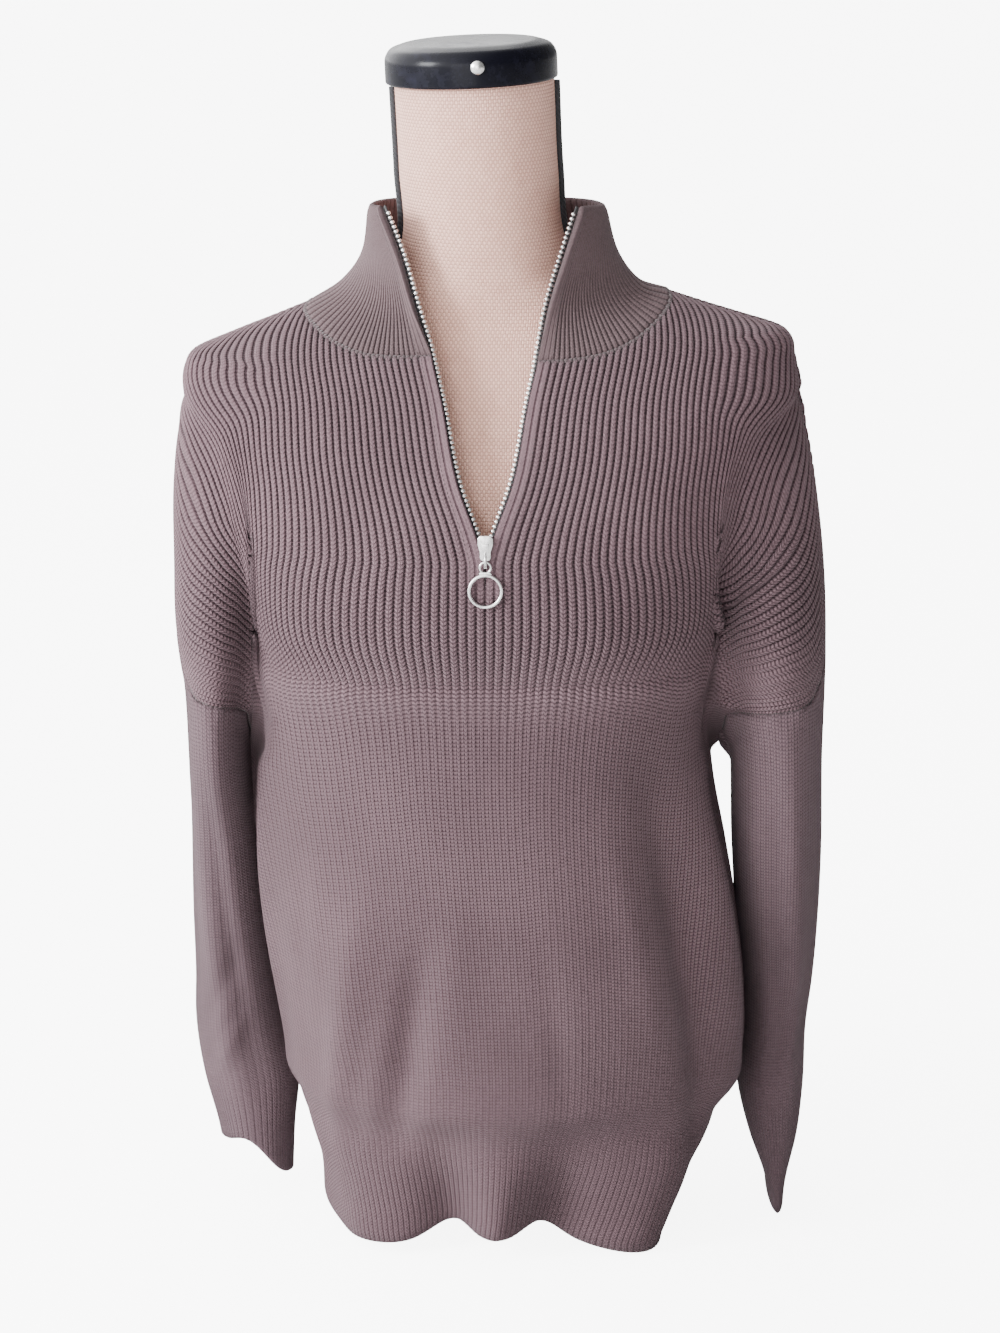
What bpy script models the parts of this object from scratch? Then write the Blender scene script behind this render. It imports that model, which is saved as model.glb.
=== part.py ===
"""Quarter zip sweater in chunky rib knit, worn by a tabletop dress form.

Metres, +Z up, the front faces -Y. The origin is on the table, below the form.
The knit is a wall whose outer points rise and fall with each rib, over a plain
inside. Every panel point is found from a rib number and a height.
"""
import bpy
import bmesh
import numpy as np
from math import cos, pi, radians, sin, tan

# ---------------------------------------------------------------- driving sizes
KNIT = 0.0034            # thickness of the knit at a rib's crest
RIB_HEIGHT = 0.0012      # how far a crest stands above the groove beside it
SEAM_GAP = 0.0004        # clearance between two pieces that are sewn together
RIBS_HALF = 56           # ribs in half a front or back panel
RIBS_NECK = 22           # of these, the ribs that end at the collar
INSIDE_STEP = 2          # ribs between two points of the plain inside
CLOSE_RIB = 48           # from this rib outwards the inside has a point at each rib
RIBS_SHOULDER = 38       # rib that ends at the point of the shoulder
SLEEVE_RIBS_PER_STEP = 6 # ribs between two stations of the armhole seam
ARMHOLE_STEPS = 6        # stations of the armhole seam on each panel
UNDERARM = 0.348         # height of the underarm point
ARM_END = 0.618          # height where the arm ends in the shoulder
WEB_SLOPE, WEB_DEPTH = 1.2, 0.045    # how the cloth deepens above the underarm
SLIT_END = 0.487         # height of the lower end of the zip's slit
LEFT, RIGHT = -1, 1
SIDE_NAME = {LEFT: "left", RIGHT: "right"}

# Height where the armhole seam meets the outside of the arm, the point of the
# shoulder and the neck end of the shoulder seam.
ARMHOLE_TOP = {LEFT: 0.441, RIGHT: 0.431}
SHOULDER_POINT = {LEFT: 0.6327, RIGHT: 0.6497}
NECK_POINT = {LEFT: 0.6681, RIGHT: 0.6765}


def named_table(names, *rows):
    """A table of rows as a dictionary of named columns."""
    return {name: np.array(values) for name, values in zip(names, zip(*rows))}


def read(table, name, key, place):
    """Smooth reading of one column of a table at a place on its key column."""
    keys, values = table[key], table[name]
    slopes = np.gradient(values, keys)
    place = np.clip(place, keys[0], keys[-1])
    row = np.clip(np.searchsorted(keys, place, side="right") - 1, 0, len(keys) - 2)
    span = keys[row + 1] - keys[row]
    t = (place - keys[row]) / span
    rise = values[row + 1] - values[row]
    bend_a = slopes[row] * span - rise
    bend_b = rise - slopes[row + 1] * span
    return values[row] + rise * t + t * (1 - t) * (bend_a * (1 - t) + bend_b * t)


# Body of the sweater: distances from x = 0 and y = 0 at each height. Above the
# underarm it is the chest, and above 0.6 the chest and both shoulders together.
TORSO = named_table(
    ("z", "left", "right", "front", "back", "power", "middle"),
    (0.000, 0.1150, 0.1260, 0.123, 0.112, 2.45, 0.006),
    (0.014, 0.1190, 0.1330, 0.125, 0.114, 2.40, 0.006),
    (0.030, 0.1198, 0.1402, 0.127, 0.116, 2.30, 0.008),
    (0.0455, 0.1216, 0.1504, 0.129, 0.118, 2.25, 0.009),
    (0.061, 0.1265, 0.1612, 0.131, 0.120, 2.20, 0.010),
    (0.084, 0.1345, 0.1720, 0.134, 0.124, 2.20, 0.011),
    (0.100, 0.1385, 0.1812, 0.136, 0.127, 2.20, 0.012),
    (0.126, 0.1425, 0.1865, 0.136, 0.130, 2.25, 0.013),
    (0.164, 0.147, 0.186, 0.135, 0.128, 2.30, 0.012),
    (0.230, 0.156, 0.179, 0.129, 0.120, 2.30, 0.008),
    (0.283, 0.1612, 0.171, 0.124, 0.113, 2.35, 0.004),
    (0.329, 0.1638, 0.163, 0.124, 0.109, 2.45, 0.001),
    (0.394, 0.163, 0.159, 0.128, 0.108, 2.75, 0.0),
    (0.444, 0.165, 0.165, 0.134, 0.112, 2.90, 0.0),
    (0.496, 0.173, 0.173, 0.136, 0.116, 2.85, 0.0),
    (0.544, 0.1905, 0.188, 0.130, 0.116, 2.60, 0.0),
    (0.584, 0.205, 0.208, 0.117, 0.110, 2.50, 0.0),
    (0.606, 0.2125, 0.2222, 0.107, 0.103, 2.50, 0.0),
    (0.6249, 0.2110, 0.2190, 0.097, 0.094, 2.40, 0.0),
    (0.6327, 0.2066, 0.2175, 0.092, 0.090, 2.30, 0.0),
    (0.6433, 0.1835, 0.2152, 0.084, 0.084, 2.20, 0.0),
    (0.6497, 0.1685, 0.2088, 0.079, 0.080, 2.10, 0.0),
    (0.6568, 0.1509, 0.1870, 0.073, 0.075, 2.00, 0.0),
    (0.6681, 0.1242, 0.1505, 0.064, 0.068, 2.00, 0.0),
    (0.6765, 0.1050, 0.1274, 0.056, 0.060, 2.00, 0.0),
)

# Sleeve tubes, inner and outer side from x = 0, middle and half depth in y.
ARM_COLUMNS = ("z", "inner", "outer", "y", "depth")
ARM = {
    LEFT: named_table(
        ARM_COLUMNS,
        (0.000, 0.1440, 0.1920, 0.034, 0.027),
        (0.048, 0.1420, 0.1990, 0.038, 0.029),
        (0.083, 0.1390, 0.2090, 0.045, 0.033),
        (0.126, 0.1450, 0.2150, 0.047, 0.040),
        (0.164, 0.1500, 0.2145, 0.044, 0.046),
        (0.214, 0.1552, 0.2150, 0.036, 0.054),
        (0.284, 0.1612, 0.2145, 0.026, 0.064),
        (0.348, 0.1676, 0.2130, 0.000, 0.070),
        (0.394, 0.1660, 0.2150, 0.000, 0.073),
        (0.441, 0.1580, 0.2210, 0.000, 0.073),
        (0.484, 0.1500, 0.2214, 0.000, 0.072),
        (0.544, 0.1400, 0.2206, 0.000, 0.067),
        (0.576, 0.1340, 0.2172, 0.000, 0.060),
        (0.606, 0.1300, 0.2100, 0.000, 0.048),
        (0.640, 0.1200, 0.1700, 0.000, 0.020),
    ),
    RIGHT: named_table(
        ARM_COLUMNS,
        (0.000, 0.2060, 0.2170, -0.005, 0.044),
        (0.022, 0.2040, 0.2190, -0.003, 0.045),
        (0.053, 0.1925, 0.2285, 0.010, 0.046),
        (0.084, 0.1850, 0.2335, 0.026, 0.048),
        (0.126, 0.1868, 0.2350, 0.038, 0.052),
        (0.164, 0.1866, 0.2385, 0.036, 0.056),
        (0.214, 0.1840, 0.2405, 0.024, 0.062),
        (0.274, 0.1775, 0.2415, 0.010, 0.067),
        (0.348, 0.1745, 0.2410, 0.000, 0.070),
        (0.394, 0.1690, 0.2420, 0.000, 0.073),
        (0.431, 0.1610, 0.2424, 0.000, 0.073),
        (0.472, 0.1500, 0.2409, 0.000, 0.072),
        (0.521, 0.1420, 0.2361, 0.000, 0.069),
        (0.576, 0.1340, 0.2273, 0.000, 0.060),
        (0.606, 0.1300, 0.2190, 0.000, 0.048),
        (0.640, 0.1200, 0.1700, 0.000, 0.020),
    ),
}

# The armhole seam: its share of the way up from the underarm to its top, for a
# share of the way across the arm from its inner to its outer side.
SEAM = named_table(
    ("across", "up"),
    (0.00, 0.00), (0.05, 0.24), (0.20, 0.38), (0.50, 0.48),
    (0.85, 0.60), (0.95, 0.76), (1.00, 1.00),
)

# Half the opening between the two front edges at the zip.
SLIT = named_table(
    ("z", "half"),
    (0.4870, 0.0), (0.5000, 0.0022), (0.5190, 0.0034), (0.5280, 0.0062),
    (0.5590, 0.0178), (0.6190, 0.0305), (0.6430, 0.0365), (0.6765, 0.0400),
)

# Width of a rib at the centre of the front.
PITCH = named_table(
    ("z", "width"),
    (0.010, 0.0034), (0.083, 0.0043), (0.150, 0.0047), (0.230, 0.0050),
    (0.330, 0.0052), (0.425, 0.0058), (0.560, 0.0056), (0.680, 0.0053),
)

# Height of the neckline at each rib from the zip, or from the centre back.
NECKLINE = {
    "front": named_table(
        ("rib", "left", "right"),
        (0, 0.6430, 0.6395), (6, 0.6422, 0.6410), (10, 0.6435, 0.6445),
        (14, 0.6490, 0.6520), (18, 0.6580, 0.6640), (22, 0.6681, 0.6765),
    ),
    "back": named_table(
        ("rib", "left", "right"),
        (0, 0.6640, 0.6640), (8, 0.6640, 0.6650), (14, 0.6652, 0.6690),
        (18, 0.6665, 0.6725), (22, 0.6681, 0.6765),
    ),
}

# Height of the hem at each rib from the centre.
HEM = {
    "front": named_table(
        ("rib", "left", "right"),
        (0, 0.0180, 0.0180), (9, 0.0190, 0.0190), (18, 0.0120, 0.0120),
        (26, 0.0085, 0.0030), (36, 0.0120, 0.0080), (RIBS_HALF, 0.0200, 0.0190),
    ),
    "back": named_table(
        ("rib", "left", "right"),
        (0, 0.0140, 0.0140), (10, 0.0110, 0.0170), (22, 0.0160, 0.0120),
        (36, 0.0130, 0.0150), (RIBS_HALF, 0.0200, 0.0190),
    ),
}

# Soft folds: each follows a line from one rib and height down to another. The
# columns are side, rib_top, z_top, rib_low, z_low, spread (its half width in ribs)
# and lift (its height, negative inwards).
FOLDS = {
    "front": (
        (LEFT, 9, 0.110, 9, -0.090, 6.0, -0.024),
        (LEFT, 0, 0.080, 0, -0.060, 4.0, 0.008),
        (RIGHT, 10, 0.110, 10, -0.090, 6.0, -0.020),
        (LEFT, 25, 0.100, 26, -0.080, 7.0, 0.007),
        (RIGHT, 28, 0.110, 27, -0.090, 8.0, 0.024),
        (LEFT, 8, 0.240, 18, 0.060, 3.2, -0.007),
        (LEFT, 18, 0.260, 29, 0.060, 3.2, 0.006),
        (LEFT, 30, 0.400, 46, 0.080, 3.4, 0.008),
        (LEFT, 38, 0.360, 52, 0.060, 3.0, -0.006),
        (RIGHT, 20, 0.380, 34, 0.040, 3.8, -0.009),
        (RIGHT, 31, 0.350, 40, 0.100, 3.2, 0.006),
        (RIGHT, 40, 0.345, 50, 0.060, 3.0, -0.006),
        (LEFT, 47, 0.345, 55, 0.040, 2.6, 0.003),
        (RIGHT, 48, 0.345, 56, 0.040, 2.6, 0.002),
        (LEFT, 30, 0.610, 42, 0.360, 3.0, 0.004),
        (RIGHT, 36, 0.640, 43, 0.370, 3.2, -0.007),
        (RIGHT, 29, 0.600, 34, 0.380, 3.4, 0.004),
    ),
    "back": (
        (LEFT, 6, 0.420, 12, 0.040, 4.0, 0.006),
        (LEFT, 20, 0.440, 27, 0.050, 3.4, -0.008),
        (LEFT, 34, 0.400, 40, 0.040, 3.2, 0.006),
        (LEFT, 46, 0.345, 50, 0.020, 2.8, -0.005),
        (RIGHT, 4, 0.300, 6, 0.030, 3.4, -0.006),
        (RIGHT, 16, 0.460, 22, 0.060, 3.8, 0.007),
        (RIGHT, 29, 0.380, 34, 0.040, 3.2, -0.008),
        (RIGHT, 44, 0.345, 48, 0.020, 2.8, 0.004),
        (LEFT, 10, 0.100, 10, -0.080, 5.0, -0.014),
        (RIGHT, 12, 0.110, 12, -0.080, 5.0, 0.012),
        (LEFT, 28, 0.100, 28, -0.080, 5.0, 0.010),
        (RIGHT, 30, 0.100, 30, -0.080, 5.0, -0.012),
    ),
}

# Level creases: each is pressed in along one height, out to a rib. The columns are
# z, reach (that rib), half_height and lift.
CREASES = {
    "front": (
        (0.425, 30, 0.016, -0.0045),
        (0.090, 48, 0.016, -0.0035),
        (0.112, 50, 0.016, 0.0030),
    ),
    "back": (
        (0.400, 34, 0.022, -0.0060),
        (0.092, 48, 0.018, -0.0040),
    ),
}

BELOW_ARM = 0.335        # height where the cloth leaves the underarm for the body

# Levels of the points along a rib that lies between the zip and the arm.
LEVELS = {
    "front": (0.083, 0.235, 0.345, 0.425, SLIT_END, 0.545, 0.603),
    "back": (0.083, 0.235, 0.345, 0.470, 0.605),
}
ARM_LEVELS = (0.083, 0.235, BELOW_ARM)
ARM_RIB = 34             # from this rib outwards the panel runs onto the arm

# ---------------------------------------------------------------- cloth surface
LEVEL_STEP = 0.002
SURFACE_Z = np.arange(0.0, 0.6765 + LEVEL_STEP, LEVEL_STEP)
ACROSS = np.linspace(0.0, 1.0, 260)
PATH_POINTS = 700
MOST_SQUEEZE = 0.42      # how far the ribs at the centre may spread
NORMAL_REACH = 2         # levels on each side over which directions are evened out
CLOSING = 0.022          # height over which the armhole opens above the underarm
SOFTENING = 0.009        # how softly the cloth turns in a crease


def soften(values, step, odd_start, odd_end):
    """Gaussian smoothing of one coordinate along a path, mirrored at its ends."""
    reach = int(3 * SOFTENING / step) + 1
    kernel = np.exp(-0.5 * (np.arange(-reach, reach + 1) * step / SOFTENING) ** 2)
    kernel /= kernel.sum()
    head = values[reach:0:-1]
    tail = values[-2:-reach - 2:-1]
    if odd_start:
        head = 2 * values[0] - head
    if odd_end:
        tail = 2 * values[-1] - tail
    return np.convolve(np.concatenate((head, values, tail)), kernel, mode="valid")


def ribs_at(side, z):
    """Ribs between the centre and the panel's edge at a height."""
    heights = (ARMHOLE_TOP[side], SHOULDER_POINT[side], NECK_POINT[side])
    return np.interp(z, heights, (RIBS_HALF, RIBS_SHOULDER, RIBS_NECK))


def outline(face, side, z):
    """Half an outline of the sweater at a height, and how much of it is panel.

    The path runs from the centre out to the side, as distances from the
    sweater's middle line and from y = 0."""
    middle = side * read(TORSO, "middle", "z", z)
    width = read(TORSO, SIDE_NAME[side], "z", z) - middle
    depth = read(TORSO, face, "z", z)
    power = read(TORSO, "power", "z", z)
    inner = read(ARM[side], "inner", "z", z) - middle
    outer = read(ARM[side], "outer", "z", z) - middle
    above = z - UNDERARM
    on_arm = 0 < above < ARM_END - UNDERARM
    reach = max(width, outer) if on_arm else width
    d = reach * np.sin(np.linspace(0.0, pi / 2, 1500))
    y = depth * np.clip(1 - (d / width) ** power, 0, 1) ** (1 / power)
    if on_arm:
        arm_middle = (inner + outer) / 2
        arm_half = (outer - inner) / 2
        arm_depth = read(ARM[side], "depth", "z", z)
        arm = arm_depth * np.sqrt(np.clip(1 - ((d - arm_middle) / arm_half) ** 2, 0, 1))
        web = min(WEB_SLOPE * above, WEB_DEPTH)
        y = np.maximum(y, arm)
        y = np.where(d < arm_middle, np.maximum(y, web), y)
    length = np.concatenate(([0], np.cumsum(np.hypot(np.diff(d), np.diff(y)))))
    even = np.linspace(0, length[-1], PATH_POINTS)
    d = soften(np.interp(even, length, d), even[1], True, False)
    y = soften(np.interp(even, length, y), even[1], False, True)
    length = np.concatenate(([0], np.cumsum(np.hypot(np.diff(d), np.diff(y)))))
    end = length[-1]
    if 0 < above and z < ARMHOLE_TOP[side]:
        up = above / (ARMHOLE_TOP[side] - UNDERARM)
        share = np.interp(up, SEAM["up"], SEAM["across"])
        hollow = (width + inner) / 2
        end = np.interp(hollow + share * (outer - hollow), d, length)
        closing = np.clip(1 - (above - LEVEL_STEP) / CLOSING, 0, 1) ** 2
        closed = closing * np.exp(-np.abs(length - end) / CLOSING)
        y = y - np.interp(end, length, y) * closed
    return d, y, length, end


def fold_lift(face, side, rib, z):
    """How far the folds and creases move the cloth outwards."""
    lift = np.zeros_like(rib)
    for fold_side, rib_top, z_top, rib_low, z_low, spread, height in FOLDS[face]:
        t = (z_top - z) / (z_top - z_low)
        if 0 < t < 1:
            signed = rib * side * fold_side
            middle = rib_top + (rib_low - rib_top) * t
            lift += height * sin(pi * t) * np.exp(-((signed - middle) / spread) ** 2)
    for z_crease, reach, half_height, height in CREASES[face]:
        fade = 0.5 - 0.5 * np.tanh((rib - reach) / 4)
        lift += height * fade * np.exp(-((z - z_crease) / half_height) ** 2)
    edge = np.clip((RIBS_HALF - rib) / 5, 0, 1)
    return lift * edge * edge * (3 - 2 * edge)


def cloth_surface(face, side):
    """Points and outward directions of half a panel, by height and share across."""
    forward = -1 if face == "front" else 1
    points = np.zeros((len(SURFACE_Z), len(ACROSS), 3))
    for level, z in enumerate(SURFACE_Z):
        d, y, length, end = outline(face, side, z)
        start = read(SLIT, "half", "z", z) if face == "front" and z > SLIT_END else 0.0
        ribs = ribs_at(side, z)
        squeeze = read(PITCH, "width", "z", z) * ribs / (end - start) - 1
        squeeze = min(max(squeeze, 0.0), MOST_SQUEEZE)
        place = start + (end - start) * (ACROSS + squeeze * (ACROSS - ACROSS ** 3))
        d_here = np.interp(place, length, d)
        y_here = np.interp(place, length, y)
        along_d = np.gradient(d_here)
        along_y = np.gradient(y_here)
        size = np.hypot(along_d, along_y)
        lift = fold_lift(face, side, ACROSS * ribs, z)
        d_here = d_here - along_y / size * lift
        y_here = y_here + along_d / size * lift
        points[level, :, 0] = read(TORSO, "middle", "z", z) + side * d_here
        points[level, :, 1] = forward * (y_here + SEAM_GAP / 2)
        points[level, :, 2] = z
    across = np.gradient(points, axis=1)
    upward = np.gradient(points, axis=0)
    normals = np.cross(across, upward) * side * -forward
    even = sum(np.roll(normals, step, axis=0) for step in range(-NORMAL_REACH, NORMAL_REACH + 1))
    normals[NORMAL_REACH:-NORMAL_REACH] = even[NORMAL_REACH:-NORMAL_REACH]
    seam = (SURFACE_Z < UNDERARM + 1.5 * LEVEL_STEP) | (SURFACE_Z >= ARMHOLE_TOP[side])
    normals[seam, -1, 1] = 0
    normals /= np.linalg.norm(normals, axis=2, keepdims=True)
    room = (np.abs(points[:, :, 1]) - SEAM_GAP / 2) / KNIT
    normals[:, :, 1] = np.clip(normals[:, :, 1], -room, room)
    return points, normals


def on_surface(surface, side, rib, z):
    """Point and outward direction at a rib and a height, or at lists of them."""
    share = np.clip(rib / ribs_at(side, z), 0, 1) * (len(ACROSS) - 1)
    level = np.clip(z / LEVEL_STEP, 0, len(SURFACE_Z) - 1.001)
    i = np.floor(level).astype(int)
    j = np.minimum(np.floor(share).astype(int), len(ACROSS) - 2)
    s = (level - i)[..., None]
    t = (share - j)[..., None]
    found = []
    for grid in surface:
        low = grid[i, j] * (1 - t) + grid[i, j + 1] * t
        high = grid[i + 1, j] * (1 - t) + grid[i + 1, j + 1] * t
        found.append(low * (1 - s) + high * s)
    return found


# ---------------------------------------------------------------- mesh building
def principled(name, colour, roughness, metallic=0.0):
    """A plain material of one colour."""
    material = bpy.data.materials.new(name)
    material.use_nodes = True
    shader = material.node_tree.nodes["Principled BSDF"]
    shader.inputs["Base Color"].default_value = (*colour, 1.0)
    shader.inputs["Roughness"].default_value = roughness
    shader.inputs["Metallic"].default_value = metallic
    return material


def bridge(faces, line_a, line_b):
    """Triangles between two lines of (place, vertex), whatever their counts."""
    a, b = 0, 0
    while a < len(line_a) - 1 or b < len(line_b) - 1:
        ahead_a = line_a[a + 1][0] if a < len(line_a) - 1 else np.inf
        ahead_b = line_b[b + 1][0] if b < len(line_b) - 1 else np.inf
        if ahead_a <= ahead_b:
            faces.append((line_a[a][1], line_a[a + 1][1], line_b[b][1]))
            a += 1
        else:
            faces.append((line_a[a][1], line_b[b + 1][1], line_b[b][1]))
            b += 1


def make_object(name, vertices, faces, material, sharp_angle=40):
    """A closed mesh object with its faces turned outwards."""
    shape = bmesh.new()
    corners = [shape.verts.new(tuple(map(float, point))) for point in vertices]
    for face in faces:
        shape.faces.new([corners[index] for index in face])
    bmesh.ops.recalc_face_normals(shape, faces=shape.faces)
    mesh = bpy.data.meshes.new(name)
    shape.to_mesh(mesh)
    shape.free()
    mesh.shade_smooth()
    mesh.set_sharp_from_angle(angle=radians(sharp_angle))
    mesh.materials.append(material)
    thing = bpy.data.objects.new(name, mesh)
    bpy.context.collection.objects.link(thing)
    return thing


class Wall:
    """Vertices and faces of one piece of cloth while it is being put together."""

    def __init__(self):
        self.vertices = []
        self.faces = []

    def add(self, points):
        """Adds points and returns their numbers."""
        first = len(self.vertices)
        self.vertices.extend(points)
        return list(range(first, len(self.vertices)))


def numbered(line):
    """A line of vertices as (place, vertex), with places from 0 to 1."""
    last = len(line) - 1
    return [(index / last, vertex) for index, vertex in enumerate(line)]


# ---------------------------------------------------------------- front and back
LEVEL_TRIALS = 160
STEP_LENGTH = 0.045      # a level costs this length along a rib
STEP_TURN = 1.2          # or this turn, in radians


def panel_top(face, side, rib):
    """Height where a rib ends: at the neckline, the shoulder or the outer arm."""
    if rib < RIBS_NECK:
        return float(read(NECKLINE[face], SIDE_NAME[side], "rib", rib))
    heights = (NECK_POINT[side], SHOULDER_POINT[side], ARMHOLE_TOP[side])
    return float(np.interp(rib, (RIBS_NECK, RIBS_SHOULDER, RIBS_HALF), heights))


def even_levels(surface, side, rib, low, high, steps):
    """Heights along a rib, closer together where it bends."""
    z = low + (high - low) * np.linspace(0, 1, LEVEL_TRIALS)
    points, _ = on_surface(surface, side, np.full(LEVEL_TRIALS, float(rib)), z)
    steps_along = np.diff(points, axis=0)
    lengths = np.linalg.norm(steps_along, axis=1)
    headings = steps_along / lengths[:, None]
    turns = np.linalg.norm(np.diff(headings, axis=0), axis=1)
    cost = np.concatenate(([0], np.cumsum(lengths / STEP_LENGTH)))
    cost[1:-1] += np.cumsum(turns) / STEP_TURN
    cost[-1] = cost[-2] + lengths[-1] / STEP_LENGTH
    return np.interp(np.linspace(0, cost[-1], steps + 1), cost, z)


def rib_levels(face, surface, side, rib):
    """Heights of the points along one rib, from the hem to its top."""
    hem = float(read(HEM[face], SIDE_NAME[side], "rib", rib))
    top = panel_top(face, side, rib)
    if rib < ARM_RIB:
        return np.array((hem, *LEVELS[face], top))
    upper = even_levels(surface, side, rib, UNDERARM + LEVEL_STEP, top, ARMHOLE_STEPS)
    return np.concatenate(((hem, *ARM_LEVELS), upper))


def make_panel(name, face, material):
    """A front or back panel.

    Returns, for each side, the armhole seam's stations and the front edge."""
    wall = Wall()
    skins = {
        "outer": [*np.arange(0, RIBS_HALF + 0.25, 0.5)],
        "inner": [*range(0, ARM_RIB, INSIDE_STEP), ARM_RIB - 0.5,
                  *range(ARM_RIB, CLOSE_RIB, INSIDE_STEP), *range(CLOSE_RIB, RIBS_HALF + 1)],
    }
    slit_point = 1 + LEVELS["front"].index(SLIT_END)
    stations, zip_edges, centre = {}, {}, {}
    for side in (LEFT, RIGHT):
        surface = cloth_surface(face, side)
        hem, top, edge, slit = {}, {}, {}, {}
        for skin, ribs in skins.items():
            hem[skin], top[skin], before = [], [], None
            for rib in ribs:
                z = rib_levels(face, surface, side, rib)
                point, normal = on_surface(surface, side, np.full(len(z), float(rib)), z)
                groove = RIB_HEIGHT if rib == int(rib) else 0.0
                depth = KNIT if skin == "inner" else groove
                placed = point - depth * normal
                if rib == 0:
                    shared = slit_point + 1 if face == "front" else len(z)
                    already = centre.get(skin, [])[:shared]
                    column = already + wall.add(placed[len(already):])
                    centre[skin] = column
                    if face == "front":
                        slit[skin] = numbered(column[slit_point:])
                    zip_edges[side] = (point, normal)
                else:
                    column = wall.add(placed)
                if before:
                    bridge(wall.faces, before, numbered(column))
                before = numbered(column)
                hem[skin].append((rib, column[0]))
                top[skin].append((rib, column[-1]))
            edge[skin] = before
        armhole = slice(-ARMHOLE_STEPS - 1, None)
        stations[side] = (point[armhole], (point - KNIT * normal)[armhole])
        for border in (hem, top, edge) + ((slit,) if face == "front" else ()):
            bridge(wall.faces, border["outer"], border["inner"])
    make_object(name, wall.vertices, wall.faces, material)
    return stations, zip_edges


# ---------------------------------------------------------------- sleeves
SLEEVE_ROWS = (0.0, 0.05, 0.42, 0.80, 1.0)
CUFF_HEIGHT = {LEFT: 0.0265, RIGHT: 0.0120}    # middle height of the cuff's edge
CUFF_SLANT = {LEFT: 0.0140, RIGHT: 0.0045}     # how far one side of it hangs lower
SLEEVE_GAP = 0.0018      # room for the turn of the wall along the armhole seam
CUFF_TURN = {LEFT: radians(10), RIGHT: radians(90)}
CUFF_TUCK = {LEFT: 0.0150, RIGHT: 0.0}         # how far its front is drawn up
TUCK_MIDDLE, TUCK_SPREAD = radians(100), radians(38)


def cuff_edge(side, angle):
    """Height of the cuff's edge at an angle from the sleeve's inner side."""
    tuck = CUFF_TUCK[side] * np.exp(-((angle - TUCK_MIDDLE) / TUCK_SPREAD) ** 2)
    return CUFF_HEIGHT[side] - CUFF_SLANT[side] * np.cos(angle - CUFF_TURN[side]) + tuck


def arm_point(side, angle, z, inset):
    """Point of a sleeve at an angle from its inner side, inset from its outside."""
    inner = read(ARM[side], "inner", "z", z) + inset
    outer = read(ARM[side], "outer", "z", z) - inset
    depth = read(ARM[side], "depth", "z", z) - inset
    x = (inner + outer) / 2 - (outer - inner) / 2 * np.cos(angle)
    y = read(ARM[side], "y", "z", z) - depth * np.sin(angle)
    return np.array((side * x, y, z))


def armhole_loop(front, back):
    """Stations all round an armhole: up the front from the underarm, down the back."""
    bottom = (front[0] + back[0]) / 2
    top = (front[-1] + back[-1]) / 2
    return [bottom, *front[1:-1], top, *back[-2:0:-1]]


def make_sleeve(name, side, front, back, material):
    """A sleeve tube that starts just under the armhole seam."""
    outer = armhole_loop(front[0], back[0])
    inner = armhole_loop(front[1], back[1])
    count = len(outer)
    angles = []
    for index, point in enumerate(outer):
        arm = {key: read(ARM[side], key, "z", point[2]) for key in ARM_COLUMNS[1:]}
        half = (arm["outer"] - arm["inner"]) / 2
        middle = (arm["outer"] + arm["inner"]) / 2
        across = -(side * point[0] - middle) / half
        forward = -(point[1] - arm["y"]) / arm["depth"]
        angle = np.arctan2(forward, across)
        angles.append(angle if index <= ARMHOLE_STEPS else angle % (2 * pi))
    angles[0] = 0.0
    angles[ARMHOLE_STEPS] = pi
    angles.append(2 * pi)
    outer.append(outer[0])
    inner.append(inner[0])
    loop, inside_loop = np.array(outer), np.array(inner)
    thick = loop - inside_loop
    away = np.cross(np.diff(loop, axis=0), thick[1:] + thick[:-1])
    away *= -np.sign(away[ARMHOLE_STEPS, 2]) / np.linalg.norm(away, axis=1, keepdims=True)
    before = np.roll(away, 1, axis=0)
    down = SLEEVE_GAP * (away + before) / (1 + np.sum(away * before, axis=1, keepdims=True))
    down = np.concatenate((down, down[:1]))
    outer = loop + down
    inner = inside_loop + down
    wall = Wall()
    borders = {}
    for skin, per_step in (("outer", 2 * SLEEVE_RIBS_PER_STEP), ("inner", 2)):
        first, before, tops, cuffs = None, None, [], []
        for index in range(count * per_step):
            step, share = divmod(index, per_step)
            share /= per_step
            crest = outer[step] * (1 - share) + outer[step + 1] * share
            inside = inner[step] * (1 - share) + inner[step + 1] * share
            angle = angles[step] * (1 - share) + angles[step + 1] * share
            groove = RIB_HEIGHT if index % 2 == 0 else 0.0
            depth = KNIT if skin == "inner" else groove
            cuff = cuff_edge(side, angle)
            column = [crest + (inside - crest) * depth / KNIT]
            for share_down in SLEEVE_ROWS[1:]:
                z = crest[2] + (cuff - crest[2]) * share_down
                column.append(arm_point(side, angle, z, depth))
            column = numbered(wall.add(column))
            if before:
                bridge(wall.faces, before, column)
            first = first or column
            before = column
            tops.append((index / per_step, column[0][1]))
            cuffs.append((index / per_step, column[-1][1]))
        bridge(wall.faces, before, first)
        tops.append((count, tops[0][1]))
        cuffs.append((count, cuffs[0][1]))
        borders[skin] = (tops, cuffs)
    for outer_line, inner_line in zip(borders["outer"], borders["inner"]):
        bridge(wall.faces, outer_line, inner_line)
    make_object(name, wall.vertices, wall.faces, material)


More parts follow.
